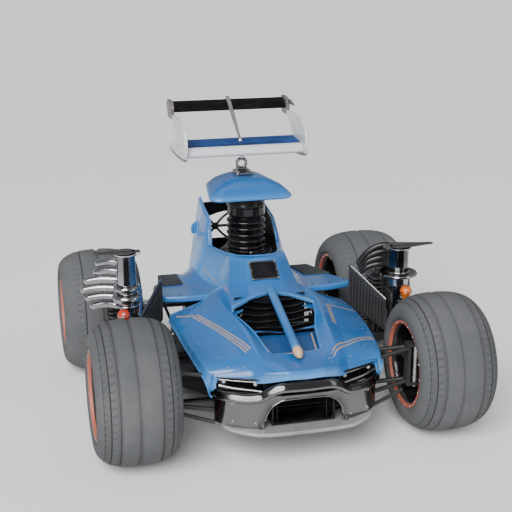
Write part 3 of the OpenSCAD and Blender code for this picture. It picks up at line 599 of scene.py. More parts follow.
def add_wheel(name, wheel, side, body, hub, tyre_node, rim_node):
    piece(name + "_tyre", tyre_shape(wheel, side), RUBBER, body, tyre_node, smooth=45)
    piece(name + "_bead_rings", bead_rings(wheel, side), CORAL, body, smooth=60)
    barrel, disc, windows, bolts = rim_shapes(wheel, side, *hub)
    piece(name + "_rim", barrel, RIM_BLACK, body, rim_node, smooth=40)
    piece(name + "_rim_disc", disc, RIM_BLACK, body, bevel=2, cutters=windows, smooth=40)
    piece(name + "_rim_bolts", bolts, CHROME, body, bevel=0.4, segments=1)


def add_wheels():
    for word, side in SIDES.items():
        add_wheel("front_wheel_" + word, FRONT_WHEEL, side, "front_wheel_" + word, (12, -50, 40),
                  ["front_tyre_" + word], ["front_rim_" + word])
        add_wheel("rear_wheel_" + word, REAR_WHEEL, side, "rear_axle", (20, -60, 30), ["rear_tyres"],
                  ["rear_rims"])


# ---------- skins: surfaces lofted through cross-sections ----------

def rounded(line, sharp, reach):
    """The line with each corner listed in sharp replaced by four points of a small arc."""
    out = []
    for i, point in enumerate(line):
        point = Vector(point)
        if i not in sharp:
            out.append(point)
            continue
        before, after = Vector(line[i - 1]) - point, Vector(line[i + 1]) - point
        start = point + before * min(0.45, reach / max(before.length, 0.001))
        end = point + after * min(0.45, reach / max(after.length, 0.001))
        for t in (0, 1 / 3, 2 / 3, 1):
            out.append((1 - t) ** 2 * start + 2 * t * (1 - t) * point + t * t * end)
    return out


def skin_rows(rows, curved, reach=10, steps=5):
    """Full-width rows through half sections. curved is the (first, last) row of the stretch that is a smooth
    curve; the other rows, and all columns, meet at small rounded corners."""
    first, last = curved
    columns = []
    for column in zip(*rows):
        line = smooth_path(column[first:last + 1], steps)
        if first:
            line = rounded(column[:first + 2], range(1, first + 1), reach)[:-1] + line[1:]
        if last < len(column) - 1:
            line = line[:-1] + rounded(column[last - 1:], range(1, len(column) - last), reach)[1:]
        columns.append(line)
    out = []
    for row in zip(*columns):
        half = rounded(row, range(1, len(row) - 1), reach)
        out.append(full_row([tuple(p) for p in half]))
    return out


def surface_tree(obj):
    """Search tree of the object's mesh, for laying stripes and rivets on it."""
    mesh = obj.data
    return BVHTree.FromPolygons([v.co / MM for v in mesh.vertices], [tuple(p.vertices) for p in mesh.polygons])


def landing(tree, start, direction):
    """Place and outward normal where a ray first meets the surface, or None."""
    place, normal, _, _ = tree.ray_cast(Vector(start), Vector(direction))
    if place is None:
        return None
    return place, normal if normal.dot(Vector(direction)) < 0 else -normal


def drop(tree, x, y):
    return landing(tree, (x, y, 900), (0, 0, -1))


def painted_band(line, width, lift, across, land):
    """Thin band laid on a surface. across(ahead) is the direction over the band, and land(point) the place and
    the normal of the surface there, or None."""
    points = []
    for i, middle in enumerate(line):
        ahead = (line[min(i + 1, len(line) - 1)] - line[max(i - 1, 0)]).normalized()
        side = across(ahead) * width / 2
        ends = [land(middle - side), land(middle + side)]
        if None not in ends:
            points += [tuple(end + normal * t) for t in (lift, -lift) for end, normal in ends]
    count = len(points) // 4
    faces = [(0, 2, 3, 1), (4 * count - 4, 4 * count - 3, 4 * count - 1, 4 * count - 2)]
    for a in range(0, 4 * count - 4, 4):
        b = a + 4
        faces += [(a, a + 1, b + 1, b), (a + 2, b + 2, b + 3, a + 3), (a, b, b + 2, a + 2),
                  (a + 1, a + 3, b + 3, b + 1)]
    return points, faces


def ribbon(tree, path, width):
    """Painted band on the surface below an (x, y) path."""
    line = smooth_path([(x, y, 0) for x, y in path])
    return painted_band(line, width, 0.7, lambda ahead: Vector((-ahead.y, ahead.x, 0)),
                        lambda p: drop(tree, p.x, p.y))


def band_on_side(tree, path, width):
    """Painted band on the right side wall, level with a path in space."""
    inwards = Vector((1, 0, 0))
    return painted_band(smooth_path(path), width, 0.6, lambda ahead: ahead.cross(inwards).normalized(),
                        lambda p: landing(tree, (-400, p.y, p.z), inwards))


def rivets_on(tree, places):
    return joined(*[rivet(*drop(tree, x, y)) for x, y in places])


def tube_along(path, radius, sides=12, steps=5):
    return swept(smooth_path(path, steps), radius, sides)


def mirrored_path(half):
    """Half path in space from the centre line outwards, with its mirror image in front."""
    return [(-x, y, z) for x, y, z in reversed(half) if x != 0] + list(half)


# ---------- nose ----------

NOSE_ROWS = [
    [(0, -627, 316), (60, -627, 318), (126, -591, 299), (165, -562, 289), (296, -520, 268), (300, -508, 232)],
    [(0, -622, 344), (60, -624, 346), (130, -586, 332), (165, -558, 321), (294, -506, 310), (304, -496, 240)],
    [(0, -494, 353), (92, -494, 364), (140, -490, 382), (185, -470, 364), (316, -474, 330), (320, -486, 290)],
    [(0, -348, 377), (112, -348, 394), (150, -340, 418), (205, -310, 390), (338, -300, 347), (342, -296, 320)],
    [(0, -170, 446), (146, -160, 416), (178, -150, 433), (228, -110, 406), (346, -120, 353), (350, -116, 328)],
    [(0, 24, 452), (120, 24, 446), (170, 24, 433), (228, 24, 386), (347, 24, 345), (350, 24, 318)],
]
VENT_HALF = [(0, -156), (96, -180), (148, -206), (142, -250), (112, -345), (0, -345)]
VENT_EDGE = [(147, -226), (144.5, -248), (129, -297), (114, -346), (102, -420), (91, -486)]
PANEL_HALF = [(0, -351), (108, -351), (88, -490), (0, -490)]
TOWER_HALF = [(0, -185), (136, -188), (134, -60), (138, 50), (0, 50)]
LAMP_HOLE = [(128, 230), (134, 262), (148, 286), (166, 302), (262, 304), (278, 298), (286, 282), (288, 230)]
RIGHT_STRIPE = [(-277, -119), (-255, -195), (-228, -271), (-203, -346), (-182, -411), (-162, -475)]
RIGHT_STRIPE_TAIL = [(-331, -41), (-302, -88), (-280, -116)]
LEFT_CURVE = [(100, -578), (123, -543), (166, -494), (207, -465), (240, -440), (281, -415), (322, -398)]
LEFT_SHORT = [(211, -183), (198, -252), (187, -335)]
LEFT_THIN = [(214, -178), (236, -170), (278, -159), (334, -144)]
NOSE_RIVETS = [(-304, -321), (-261, -447), (-326, -195), (304, -321), (268, -452), (326, -215), (-214, -30),
               (214, -30), (-190, -520), (190, -520), (-240, -505), (240, -505)]


def add_nose():
    openings = [slab(mirrored(VENT_HALF), 300, 600), slab(mirrored(PANEL_HALF), 300, 600),
                slab(mirrored(TOWER_HALF), 300, 700)]
    openings += [slab([(s * x, z) for x, z in LAMP_HOLE], -640, -470, "xz") for s in (1, -1)]
    # the shell's inner side is near black: painted shade inside the nose
    shell = piece("nose_shell", grid(skin_rows(NOSE_ROWS, (1, 5), 9, 6)), BODY_BLUE,
                  replaces=["nose_shell"], thick=5, liner=PAINTED_SHADE_LINER, cutters=openings, smooth=30)
    tree = surface_tree(shell)
    bands = [ribbon(tree, [(x + k * 8.075, y + k * 2.55) for x, y in RIGHT_STRIPE], 4.6) for k in (-1, 0, 1)]
    bands += [ribbon(tree, [(x, y + k * 7) for x, y in RIGHT_STRIPE_TAIL], 4) for k in (0, 1)]
    bands += [ribbon(tree, [(x - k * 3, y + k * 13) for x, y in LEFT_CURVE], 5) for k in (0, 1)]
    bands += [ribbon(tree, [(x + k * 9, y) for x, y in LEFT_SHORT], 5) for k in (0, 1)]
    bands.append(ribbon(tree, LEFT_THIN, 3.5))
    piece("nose_stripes", joined(*bands), STRIPE_TAN, smooth=50)
    piece("nose_rivets", rivets_on(tree, NOSE_RIVETS), STEEL, smooth=50)
    for word, side in SIDES.items():
        skirt = [(side * x, y, z) for x, y, z in (row[-1] for row in NOSE_ROWS)]
        piece("nose_edge_" + word, tube_along(skirt, 3.4, 10), BODY_BLUE)
    piece("vent_lip", joined(*[tube_along([just_outside(tree, x * s, y) for x, y in VENT_EDGE], 2.6, 10)
                               for s in (1, -1)]), BODY_BLUE)


def just_outside(tree, x, y):
    """Point of the skin just outside an opening's edge."""
    return drop(tree, x + math.copysign(2.5, x), y)[0]


def add_panel():
    """Sunk panel with its painted border, a step at its rear edge and a bolt in each corner."""
    slope = shift(0, -351, 369) @ Matrix.Rotation(math.radians(9.3), 4, "X")
    plate = slab(mirrored([(0, 4), (112, 4), (92, -141), (0, -141)]), 0, 3)
    piece("nose_panel", moved(plate, slope), PANEL_BLUE, replaces=["nose_panel"], bevel=1)
    border = slab(mirrored([(0, -131), (84, -131), (100, -6), (94, -6), (78, -125), (0, -125)]), 3, 3.9)
    piece("panel_border", moved(border, slope), STRIPE_TAN, bevel=0.3, segments=1)
    heads = [bolt(slope @ Vector((x, y, 3)), (0, 0.1, 1), 3, 2.5)
             for x, y in ((68, -114), (-68, -114), (84, -16), (-84, -16))]
    piece("panel_bolts", joined(*heads), STEEL, bevel=0.3, segments=1)


def slat(y, z, half, wave):
    """Wavy blade across the vent, thicker at its front."""
    section = [(-19, 0), (-16, 4.5), (-8, 6), (4, 4), (18, 0), (19, -2), (8, -4), (-8, -5.5), (-16, -4)]
    sine, cosine = math.sin(math.radians(-30)), math.cos(math.radians(-30))
    rings = []
    for i in range(33):
        x = -half + 2 * half * i / 32
        lift = 2.4 * math.sin(x / 19 + wave) + 9 * (x / half) ** 2
        rings.append([(x, y + a * cosine - b * sine, z + a * sine + b * cosine + lift) for a, b in section])
    return lofted(rings)


def add_louvres():
    places = [(-168, 428, 84), (-196, 414, 112), (-232, 402, 130), (-270, 390, 121), (-306, 379, 110),
              (-338, 370, 102)]
    piece("louvre_slats", joined(*[slat(y, z, half, k) for k, (y, z, half) in enumerate(places)]), VENT_BLACK,
          replaces=["louvre_slats"], smooth=60)
    # black sheet under the vent: painted shade, so the vent reads dark inside
    shade_sheet = joined(block((-150, -352, 330), (150, -150, 336)), block((-134, -150, 336), (134, -144, 452)),
                  block((-156, -352, 330), (-150, -150, 372)), block((150, -352, 330), (156, -150, 372)))
    piece("vent_shade_sheet", shade_sheet, PAINTED_SHADE_LINER, bevel=1)


ROD_REAR, ROD_FRONT = Vector((0, -158, 476)), Vector((0, -508, 376))


def add_spine():
    """Blue rod over the vent, with its pointed tip and the collar they meet at."""
    ahead = (ROD_FRONT - ROD_REAR).normalized()
    turn = shift(*ROD_FRONT) @ pointing(ahead)
    length = (ROD_FRONT - ROD_REAR).length
    rod = [(0, -length), (14, -length), (15.5, -length + 4), (16, -60), (16.2, -10), (15.6, -1), (0, -1)]
    tip = [(0, 0), (15.8, 0), (17, 3), (17.3, 9), (16.6, 19), (14.4, 29), (10.8, 37), (6.2, 43),
           (2.6, 45.4), (0, 46)]
    piece("spine_rod", moved(lathe(rod, 40), turn), BODY_BLUE, replaces=["spine_rod"],
          smooth=40)
    piece("spine_tip", moved(lathe(tip, 40), turn), TIP_TAN, replaces=["spine_tip"], smooth=60)
    foot = moved(lathe([(0, -48), (7, -48), (7, -8), (0, -8)], 20), shift(0, -470, 380))
    piece("spine_foot", foot, FRAME_BLACK, smooth=40)


# ---------- bumper ----------

FASCIA_HALF = [(0, -622), (70, -620), (130, -612), (184, -594), (230, -572), (258, -552), (276, -536),
               (287, -516), (290, -502)]
LIP_HALF = [(0, -627, 290), (60, -626, 291), (92, -622, 288), (122, -613, 274), (148, -604, 256),
            (176, -594, 249), (206, -581, 247), (240, -562, 248), (268, -540, 249), (284, -518, 251),
            (289, -502, 252)]


def fascia_band(inset):
    return [(x - inset * x / 290, y + inset) for x, y in FASCIA_HALF]


def add_bumper():
    outer, inner = fascia_band(0), fascia_band(9)
    around = [(-x, y) for x, y in reversed(outer[1:])] + outer
    around += list(reversed(inner)) + [(-x, y) for x, y in inner[1:]]
    mouth = [(-138, 130), (-137, 172), (-130, 198), (-114, 222), (-90, 238), (-62, 245), (62, 245), (90, 238),
             (114, 222), (130, 198), (137, 172), (138, 130)]
    piece("bumper_fascia", slab(around, 142, 262), BLACK_CHROME,
          replaces=["bumper_fascia"], cutters=[slab(mouth, -700, -500, "xz")], bevel=4, segments=4,
          smooth=40)
    edge = [(x, fascia_y(abs(x)) - 0.5, z) for x, z in mouth[1:-1]]
    piece("mouth_rim", tube_along(edge, 2.6, 12), BLACK_CHROME, smooth=60)
    lip = smooth_path(mirrored_path(LIP_HALF), 5)
    rings = []
    for i, centre in enumerate(lip):
        ahead = (lip[min(i + 1, len(lip) - 1)] - lip[max(i - 1, 0)]).normalized()
        out = ahead.cross(Vector((0, 0, 1))).normalized()
        up = out.cross(ahead)
        shape = [(-14, 12), (-5, 18), (3, 17), (9, 10), (12, 3), (17, -3), (15, -12), (7, -17), (-14, -15)]
        rings.append([centre + out * a + up * b for a, b in shape])
    piece("bumper_lip", lofted(rings), BLACK_CHROME, replaces=["bumper_lip"], levels=1,
          smooth=60)
    duct = block((-112, -598, 146), (112, -502, 242))
    piece("intake_duct", duct, VENT_BLACK, replaces=["intake_duct"], bevel=3,
          cutters=[block((-104, -640, 154), (104, -512, 234))])
    bars = [swept([(x, -580, 152), (x, -574, 236)], 3, 12) for x in (-88, 88)]
    bars.append(swept([(-104, -548, 190), (104, -548, 190)], 4, 12))
    piece("duct_bars", joined(*bars), VENT_BLACK, smooth=60)
    heads = [bolt((s * x, fascia_y(x) - 1, z), (s * 0.35, -1, 0), 4.5, 4) for s in (1, -1)
             for x, z in ((168, 160), (168, 236), (240, 160), (240, 228))]
    piece("fascia_bolts", joined(*heads), BLACK_CHROME, bevel=0.4, segments=1)
    half = [(0, -653), (60, -653), (120, -650), (166, -642), (205, -618), (245, -584), (264, -552),
            (272, -520), (276, -496), (262, -496), (0, -530)]
    piece("splitter", slab(mirrored(half), 128, 141), SPLITTER_GREY,
          replaces=["splitter"], bevel=4, segments=4)
    stays = both(swept([(286, -500, 134), (345, -486, 150), (405, -472, 168)], 7, 14))
    piece("splitter_stays", stays, FRAME_BLACK, replaces=["splitter_stays"], smooth=60)
    struts = both(joined(swept([(150, -606, 140), (158, -596, 160)], 6, 12),
                         swept([(236, -560, 140), (240, -556, 160)], 6, 12)))
    piece("splitter_posts", struts, FRAME_BLACK, smooth=60)


def fascia_y(x):
    """Place of the fascia's front at x from the centre line."""
    for (xa, ya), (xb, yb) in zip(FASCIA_HALF, FASCIA_HALF[1:]):
        if xa <= x <= xb:
            return ya + (yb - ya) * (x - xa) / (xb - xa)
    return FASCIA_HALF[-1][1]


def add_headlights():
    """Long recessed lamps between the nose's flange and the lip: case, tube, lower bar and two bulbs."""
    cases, tubes, bulbs = [], [], []
    for s in (1, -1):
        cases.append(slab([(s * 130, -582), (s * 286, -512), (s * 280, -486), (s * 132, -540)], 252, 306))
        tubes.append(tube_along([(s * 142, -582, 266), (s * 176, -568, 269), (s * 230, -546, 273),
                                 (s * 276, -522, 279)], 6, 14))
        tubes.append(tube_along([(s * 150, -560, 292), (s * 210, -536, 293), (s * 272, -508, 294)], 4, 12))
        for x, z in ((158, 284), (258, 288)):
            at = (s * x, -560 + 0.42 * (x - 150), z)
            bulb = lathe([(0, -8), (6, -6), (7, 0), (6, 3.5), (3.5, 5.6), (0, 6.4)], 24)
            bulbs.append(moved(bulb, shift(*at) @ pointing((s * 0.35, -1, 0.1))))
    hollow = [slab([(s * 136, -620), (s * 300, -560), (s * 276, -500), (s * 138, -556)], 257, 301)
              for s in (1, -1)]
    piece("headlights", joined(*cases), VENT_BLACK, replaces=["headlights"], bevel=2,
          cutters=hollow)
    piece("headlight_tubes", joined(*tubes), BLACK_CHROME, smooth=60)
    piece("headlight_bulbs", joined(*bulbs), LENS, smooth=60)


# ---------- side pods ----------

POD_HALF = [(190, 28), (260, 29), (300, 33), (350, 48), (380, 62), (391, 76), (390, 92), (346, 290),
            (318, 468), (176, 468), (196, 290), (183, 190), (166, 104), (160, 64), (152, 30)]
WALL_FOOT = [(150, 26, 437), (157, 65, 430), (164, 106, 423), (176, 166, 418), (183, 207, 417),
             (188, 241, 419), (193, 281, 426), (194, 330, 428), (190, 400, 424), (172, 466, 416)]


def pod_top(y):
    return 408 - 0.1228 * (y - 62)


def add_pods():
    tilt = shift(0, 62, 408) @ Matrix.Rotation(math.radians(-7), 4, "X") @ shift(0, -62, 0)
    pod = moved(slab(POD_HALF, -25, 0), tilt)
    piece("side_pods", both(pod), BODY_BLUE, replaces=["side_pods"], bevel=9, segments=5,
          smooth=40)
    fillets = []
    for s in (1, -1):
        rows = []
        for x, y, z in WALL_FOOT:
            low = pod_top(y) - 2
            sweep = [(s * (x - 3 + 62 * t), y, low + (z - low) * (1 - t) ** 2.2)
                     for t in (0, 0.12, 0.26, 0.42, 0.6, 0.8, 1)]
            rows.append([(s * (x - 7), y, z + 3)] + sweep)
        smooth_rows = list(zip(*[smooth_path(column, 4) for column in zip(*rows)]))
        under = [[(p[0], p[1], p[2] - 6) for p in row] for row in smooth_rows]
        fillets.append(lofted([list(a) + list(reversed(b)) for a, b in zip(smooth_rows, under)]))
    piece("pod_fillets", joined(*fillets), BODY_BLUE, smooth=50)
    pad = [(356, 236), (346, 300), (322, 452), (246, 452), (252, 250)]
    top = shift(0, 0, 0.5) @ tilt
    piece("grip_pads", both(moved(slab(pad, 0, 5), top)), PAD_GREY, replaces=["grip_pads"],
          bevel=1.2)
    heads = [moved(bolt((s * x, y, 0), (0, 0, 1), 4, 3), top) for s in (1, -1) for x, y in
             ((372, 110), (300, 60), (230, 60), (240, 455), (310, 460))]
    piece("pod_bolts", joined(*heads), STEEL, bevel=0.3, segments=1)


# ---------- tower ----------

COWL_ROWS = [
    [(0, -154, 464), (75, -168, 452), (156, -203, 431), (158, -200, 400)],
    [(0, -96, 492), (68, -93, 485), (133, -70, 457), (150, -54, 398)],
    [(0, -22, 555), (58, -16, 554), (110, 32, 550), (156, 36, 394)],
    [(0, 60, 549), (84, 68, 549), (113, 76, 547), (164, 76, 393)],
    [(0, 100, 546), (98, 104, 545), (117, 106, 544), (171, 106, 392)],
    [(0, 160, 540), (114, 160, 539), (128, 160, 538), (183, 164, 390)],
    [(0, 250, 537), (133, 250, 537), (146, 250, 537), (196, 250, 388)],
    [(0, 286, 597), (129, 286, 597), (141, 286, 597), (203, 287, 386)],
    [(0, 311, 628), (126, 311, 628), (138, 311, 628), (204, 310, 386)],
    [(0, 417, 648), (125, 417, 648), (135, 417, 648), (200, 410, 386)],
    [(0, 522, 667), (120, 522, 667), (131, 522, 667), (160, 525, 386)],
]
COCKPIT_HALF = [(0, 14), (40, 20), (60, 31), (74, 44), (86, 66), (95, 92), (106, 128), (114, 160),
                (121, 190), (127, 218), (133, 250), (129, 286), (126, 311), (125, 417), (121, 560),
                (0, 560)]
RIM_LINE = [(0, 12, 556), (40, 18, 555), (60, 29, 554), (75, 43, 552), (96, 91, 547), (105, 121, 542),
            (115, 160, 539), (128, 218, 535), (134, 248, 538), (132, 267, 574), (131, 286, 599),
            (128, 311, 630), (127, 417, 650), (123, 521, 668)]


def window_place():
    return shift(0, -96, 491) @ Matrix.Rotation(math.radians(40.5), 4, "X")


def add_tower():
    hole = moved(block((-47, 11, -30), (47, 81, 40)), window_place())
    # the cowl's inner side is near black: painted shade inside the cockpit
    cowl = piece("tower_cowl", grid(skin_rows(COWL_ROWS, (0, 6), 7, 5)), BODY_BLUE,
                 replaces=["tower_cowl"], thick=7, liner=PAINTED_SHADE_LINER, smooth=32,
                 cutters=[slab(mirrored(COCKPIT_HALF), 300, 800), hole])
    piece("cockpit_rim", tube_along(mirrored_path(RIM_LINE), 4.2, 12, 4), BODY_BLUE,
          smooth=60)
    front = [COWL_ROWS[0][0], (40, -158, 461), (75, -168, 452), (116, -184, 443), (154, -202, 431)]
    piece("hood_lip", tube_along(mirrored_path(front), 3.6, 12, 5), BODY_BLUE, smooth=60)
    pin = lathe([(0, 0), (2.5, 0), (2.5, 24), (0, 24)], 16)
    arm = joined(block((-182, 304, 566), (-140, 316, 576)), moved(pin, shift(-176, 310, 566)))
    piece("mirror_arm", arm, BODY_BLUE, bevel=1.5)
    tree = surface_tree(cowl)
    bands = []
    for k in (0, 1):
        path = [(-152 + 9 * t, 24 - 60 * t, 447 - 9 * k - 2 * t) for t in (0, 0.25, 0.5, 0.75, 1)]
        bands.append(band_on_side(tree, path, 4.5))
    bands.append(band_on_side(tree, [(-190, 240, 452), (-190, 190, 447), (-180, 130, 442), (-170, 80, 440)],
                              4))
    bands.append(band_on_side(tree, [(-190, 300, 560), (-190, 296, 520), (-190, 284, 480),
                                     (-190, 262, 458)], 4))
    piece("tower_stripes", joined(*bands), STRIPE_TAN, smooth=50)
    slope = window_place()
    sill = slab([(-53, 5), (53, 5), (53, 87), (-53, 87)], -5, 4)
    piece("window_frame", moved(sill, slope), BLACK_CHROME,
          replaces=["cockpit_window"], bevel=2.5,
          cutters=[moved(block((-45, 13, -20), (45, 79, 20)), slope)])
    piece("window_pane", moved(block((-45.5, 12.5, -4), (45.5, 79.5, -0.5)), slope), VENT_BLACK,
          bevel=0.5)
    heads = [moved(bolt((x, y, 4), (0, 0, 1), 2.4, 2), slope) for x in (-49, 49) for y in (9, 46, 83)]
    piece("window_screws", joined(*heads), CHROME, bevel=0.2, segments=1)
    dash = [(-96, 60, 498), (0, 34, 512), (96, 60, 498)]
    piece("cockpit_dash", tube_along(dash, 12, 16), VENT_BLACK, smooth=60)


def ring(at, radius, thick, axis="y", segments=32):
    """Round ring of round section."""
    outline = [(radius + thick * math.cos(a), thick * math.sin(a))
               for a in [2 * math.pi * k / 12 for k in range(12)]]
    turn = {"x": Matrix.Rotation(math.radians(90), 4, "Y"), "y": Matrix.Rotation(math.radians(90), 4, "X"),
            "z": Matrix.Identity(4)}[axis]
    return moved(turned(outline, segments, axis="z"), shift(*at) @ turn)


def add_brace():
    y = 496
    parts = []
    for s in (1, -1):
        for end in ((8, 602), (8, 492), (120, 598), (120, 492)):
            bend = ((66 + end[0]) / 2 * s, y, (548 + end[1]) / 2 + (6 if end[1] > 548 else -6))
            parts.append(tube_along([(66 * s, y, 548), bend, (end[0] * s, y, end[1])], 5, 14, 4))
        parts.append(ring((66 * s, y, 548), 11, 5))
    parts.append(swept([(-128, y, 548), (128, y, 548)], 6, 16))
    piece("tower_brace", joined(*parts), FRAME_BLACK, replaces=["tower_brace"], smooth=60)
    arch = mirrored([(0, 612), (30, 610), (60, 604), (90, 594), (120, 580), (121, 652), (0, 658)])
    panels = joined(slab(arch, y - 4, y + 4, "xz"), block((-140, y - 4, 400), (140, y + 4, 496)))
    piece("tower_back_panels", panels, VENT_BLACK, bevel=1.5)


def add_mirror():
    blade = [(-3, -22), (-3, 12), (-9, 24), (-15, 21), (-22, 14), (-26, 4), (-28, -8), (-27, -20),
             (-24, -28), (-12, -26)]
    shape = moved(slab(blade, -7, 1, "xz"), shift(-176, 320, 600))
    post = moved(lathe([(2.6, 0), (5, 0), (5, 46), (0, 46), (0, 14), (2.6, 14)], 24), shift(-176, 310, 578))
    piece("mirror_blade", shape, BODY_BLUE, "mirror", ["side_mirror"], bevel=3, segments=4)
    piece("mirror_post", post, BODY_BLUE, "mirror", smooth=50)


# ---------- mast ----------

def oblong(half, front, back, z, corner, count=9, taper=1.0):
    """Rectangle with rounded corners, as a ring at height z; taper is its back width over its front."""
    points = []
    for sx, sy, start in ((1, -1, -90), (1, 1, 0), (-1, 1, 90), (-1, -1, 180)):
        cx = sx * (half * (1 if sy < 0 else taper) - corner)
        cy = (front + corner) if sy < 0 else (back - corner)
        for k in range(count):
            a = math.radians(start + 90 * k / (count - 1))
            points.append((cx + corner * math.cos(a), cy + corner * math.sin(a), z))
    return points


CAP_TAPER = 0.8


def add_cap():
    """Domed cap, open below, with the foot and the eye that carry the wing."""
    rings = [(157, 108, 400, 747, 44), (161, 104.5, 404, 748, 46), (163.5, 101, 407, 751, 47),
             (164, 100, 408, 756, 46), (162, 102, 406, 761, 44), (149, 114, 393, 773, 40),
             (132, 132, 375, 788, 36), (128, 137, 371, 791.5, 36), (122, 142, 366, 795, 36),
             (98, 163, 350, 806, 34), (72, 184, 334, 815, 32), (64, 191, 328, 816.4, 30),
             (50, 204, 318, 816.6, 26)]
    points, faces = lofted([oblong(*r, taper=CAP_TAPER) for r in rings])
    faces = [face for face in faces if face != tuple(range(len(oblong(*rings[0]))))]
    # the cap's inner side is near black: painted shade under the cap
    piece("mast_cap", (points, faces), BODY_BLUE, "mast", ["mast_cap"], thick=4,
          liner=PAINTED_SHADE_LINER, smooth=28)
    plate = oblong(35, 236, 313, 0, 8, 5)
    base = slab([(x, y) for x, y, _ in plate], 816.6, 829)
    pedestal = slab([(x, y) for x, y, _ in oblong(21, 281, 307, 0, 4, 4)], 828, 839)
    piece("eye_plate", joined(base, pedestal), BLACK_CHROME, "mast", ["wing_eye"], bevel=2)
    eye = joined(ring((0, 294, 856), 19, 6.2), moved(lathe([(0, 0), (7, 0), (7, 25), (0, 25)], 20),
                                                    shift(0, 294, 878)),
                 ring((0, 294, 836), 9, 4, "z"))
    piece("eye_ring", eye, BLACK_CHROME, "mast", smooth=60)
    heads = [bolt((x, y, 829), (0, 0, 1), 5, 5) for x in (-25, 25) for y in (246, 268, 300)]
    piece("eye_bolts", joined(*heads), CHROME, "mast", bevel=0.4, segments=1)


def add_bellows():
    ribs, pitch, root, base = 5, 25, 62, 534.5
    line = [(root - 5, 520.5), (96, 520.5), (97, 523), (96, 527), (84, 530), (root + 6, 533)]
    for rib in range(ribs):
        line += [(root + 15 * math.cos(math.radians(a)), base + pitch * rib + 10.5
                  + 8.8 * math.sin(math.radians(a))) for a in range(-80, 81, 16)]
        line.append((root - 1, base + pitch * (rib + 1) - 1.5))
    line += [(root + 4, 664), (74, 670), (75, 676), (74, 700), (75, 706), (77, 710), (75, 714), (74, 734),
             (70, 748), (root, 757), (root - 5, 757)]
    sleeve = piece("bellows", turned(line, 72, (0, MAST_Y, 0), "z"), BELLOWS_BLACK, None,
                   ["bellows"], smooth=60)
    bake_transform(sleeve)
    clamp = joined(ring((0, MAST_Y, 530), 72, 3, "z", 64), bolt((0, MAST_Y - 78, 530), (0, -1, 0), 5, 8))
    piece("bellows_clamp", clamp, STEEL, smooth=60)


def add_wing():
    span = 231.5
    lower = [(243, 910), (243, 931), (262, 936), (310, 941), (350, 943), (376, 943), (377, 939), (350, 933),
             (310, 926), (270, 915)]
    piece("wing_lower", slab(lower, -span, span, "yz"), WING_BLUE, "mast", ["wing"], bevel=1.2,
          smooth=40)
    lead = [(250, 905), (232, 901), (216, 902), (210, 907), (208, 914), (211, 922), (222, 930), (236, 935),
            (250, 936)]
    piece("wing_leading_band", slab(lead, -span, span, "yz"), WING_WHITE, "mast", bevel=1,
          smooth=60)
    side = [(223, 889), (206, 898), (196, 914), (190, 940), (193, 962), (200, 982), (214, 1002),
            (228, 1013), (246, 1022), (266, 1028), (290, 1032), (340, 1033), (400, 1032), (469, 1030),
            (469, 1010), (446, 996), (420, 985), (400, 974), (390, 960), (390, 948), (402, 936), (430, 925),
            (480, 911), (535, 899), (534, 884), (460, 878), (380, 878), (290, 882)]
    plates = joined(*[slab(side, s * 232.5, s * 244.5, "yz") for s in (1, -1)])
    piece("wing_end_plates", plates, WING_WHITE, "mast", bevel=4, segments=4, smooth=40)
    feet = joined(*[slab([(205, 899), (222, 888), (290, 881), (380, 877), (460, 877), (534, 883),
                          (533, 888), (380, 886), (292, 892), (228, 898)], s * 231.5 - 1, s * 246, "yz")
                    for s in (1, -1)])
    piece("wing_plate_skids", feet, CAP_BROWN, "mast", bevel=1.2)
    upper = [(484, 1035), (480, 1039), (482, 1046), (496, 1056), (510, 1063), (524, 1069), (540, 1073.5),
             (554, 1077), (557, 1072), (542, 1065), (524, 1056), (508, 1046), (496, 1039)]
    piece("wing_upper", slab(upper, -span, span, "yz"), WING_BLACK, "mast", bevel=1.2, smooth=50)
    edge = [(536, 1073), (544, 1077), (556, 1080), (561, 1077), (557, 1072.5), (545, 1071)]
    piece("wing_top_edge", slab(edge, -span, span, "yz"), WING_WHITE, "mast", bevel=1)
    cap = [(470.5, 1010), (470.5, 1062), (480, 1071), (500, 1078), (530, 1080), (556, 1079), (571, 1068),
           (567, 1050), (556, 1030), (545, 1015), (530, 1008)]
    caps = joined(*[slab(cap, s * 232.5, s * 248.5, "yz") for s in (1, -1)])
    piece("wing_caps", caps, CAP_BROWN, "mast", bevel=4, segments=3, smooth=40)
    tab = slab([(392, 1058), (400, 1064), (450, 1074), (474, 1074), (474, 1060), (430, 1058)], 238, 248, "yz")
    tabs = joined(tab, slab([(440, 1056), (446, 1066), (472, 1070), (474, 1058)], -248, -238, "yz"))
    piece("wing_tabs", tabs, CAP_BROWN, "mast", bevel=2)
    rod = swept([(0, 540, 1080), (0, 500, 1062), (0, 476, 1047), (0, 400, 1000), (0, 322, 952)],
                [8, 9, 9, 7, 4.2], 16)
    piece("wing_strut", rod, STRUT_GREY, "mast", smooth=60)
    foot = joined(moved(lathe([(0, 0), (10, 0), (10, 3), (7, 6), (6, 12), (0, 13)], 24),
                        shift(0, 314, 941.5)), bolt((0, 466, 1044), (0, -1, 0.6), 5, 5))
    piece("wing_strut_foot", foot, CHROME, "mast", smooth=50)
    heads = [bolt((s * 244.5, y, z), (s, 0, 0), 4.5, 3) for s in (1, -1) for y, z in
             ((262, 922), (340, 936), (236, 985), (330, 1018), (440, 1018))]
    piece("wing_plate_bolts", joined(*heads), CHROME, "mast", bevel=0.4, segments=1)


# ---------- engines ----------

STACKS = {"left": (38, 588), "right": (34, 640)}  # radius and height of the top
STACK_AT = {"left": (522, -100), "right": (-522, -100)}
HINGE_OUT = 14


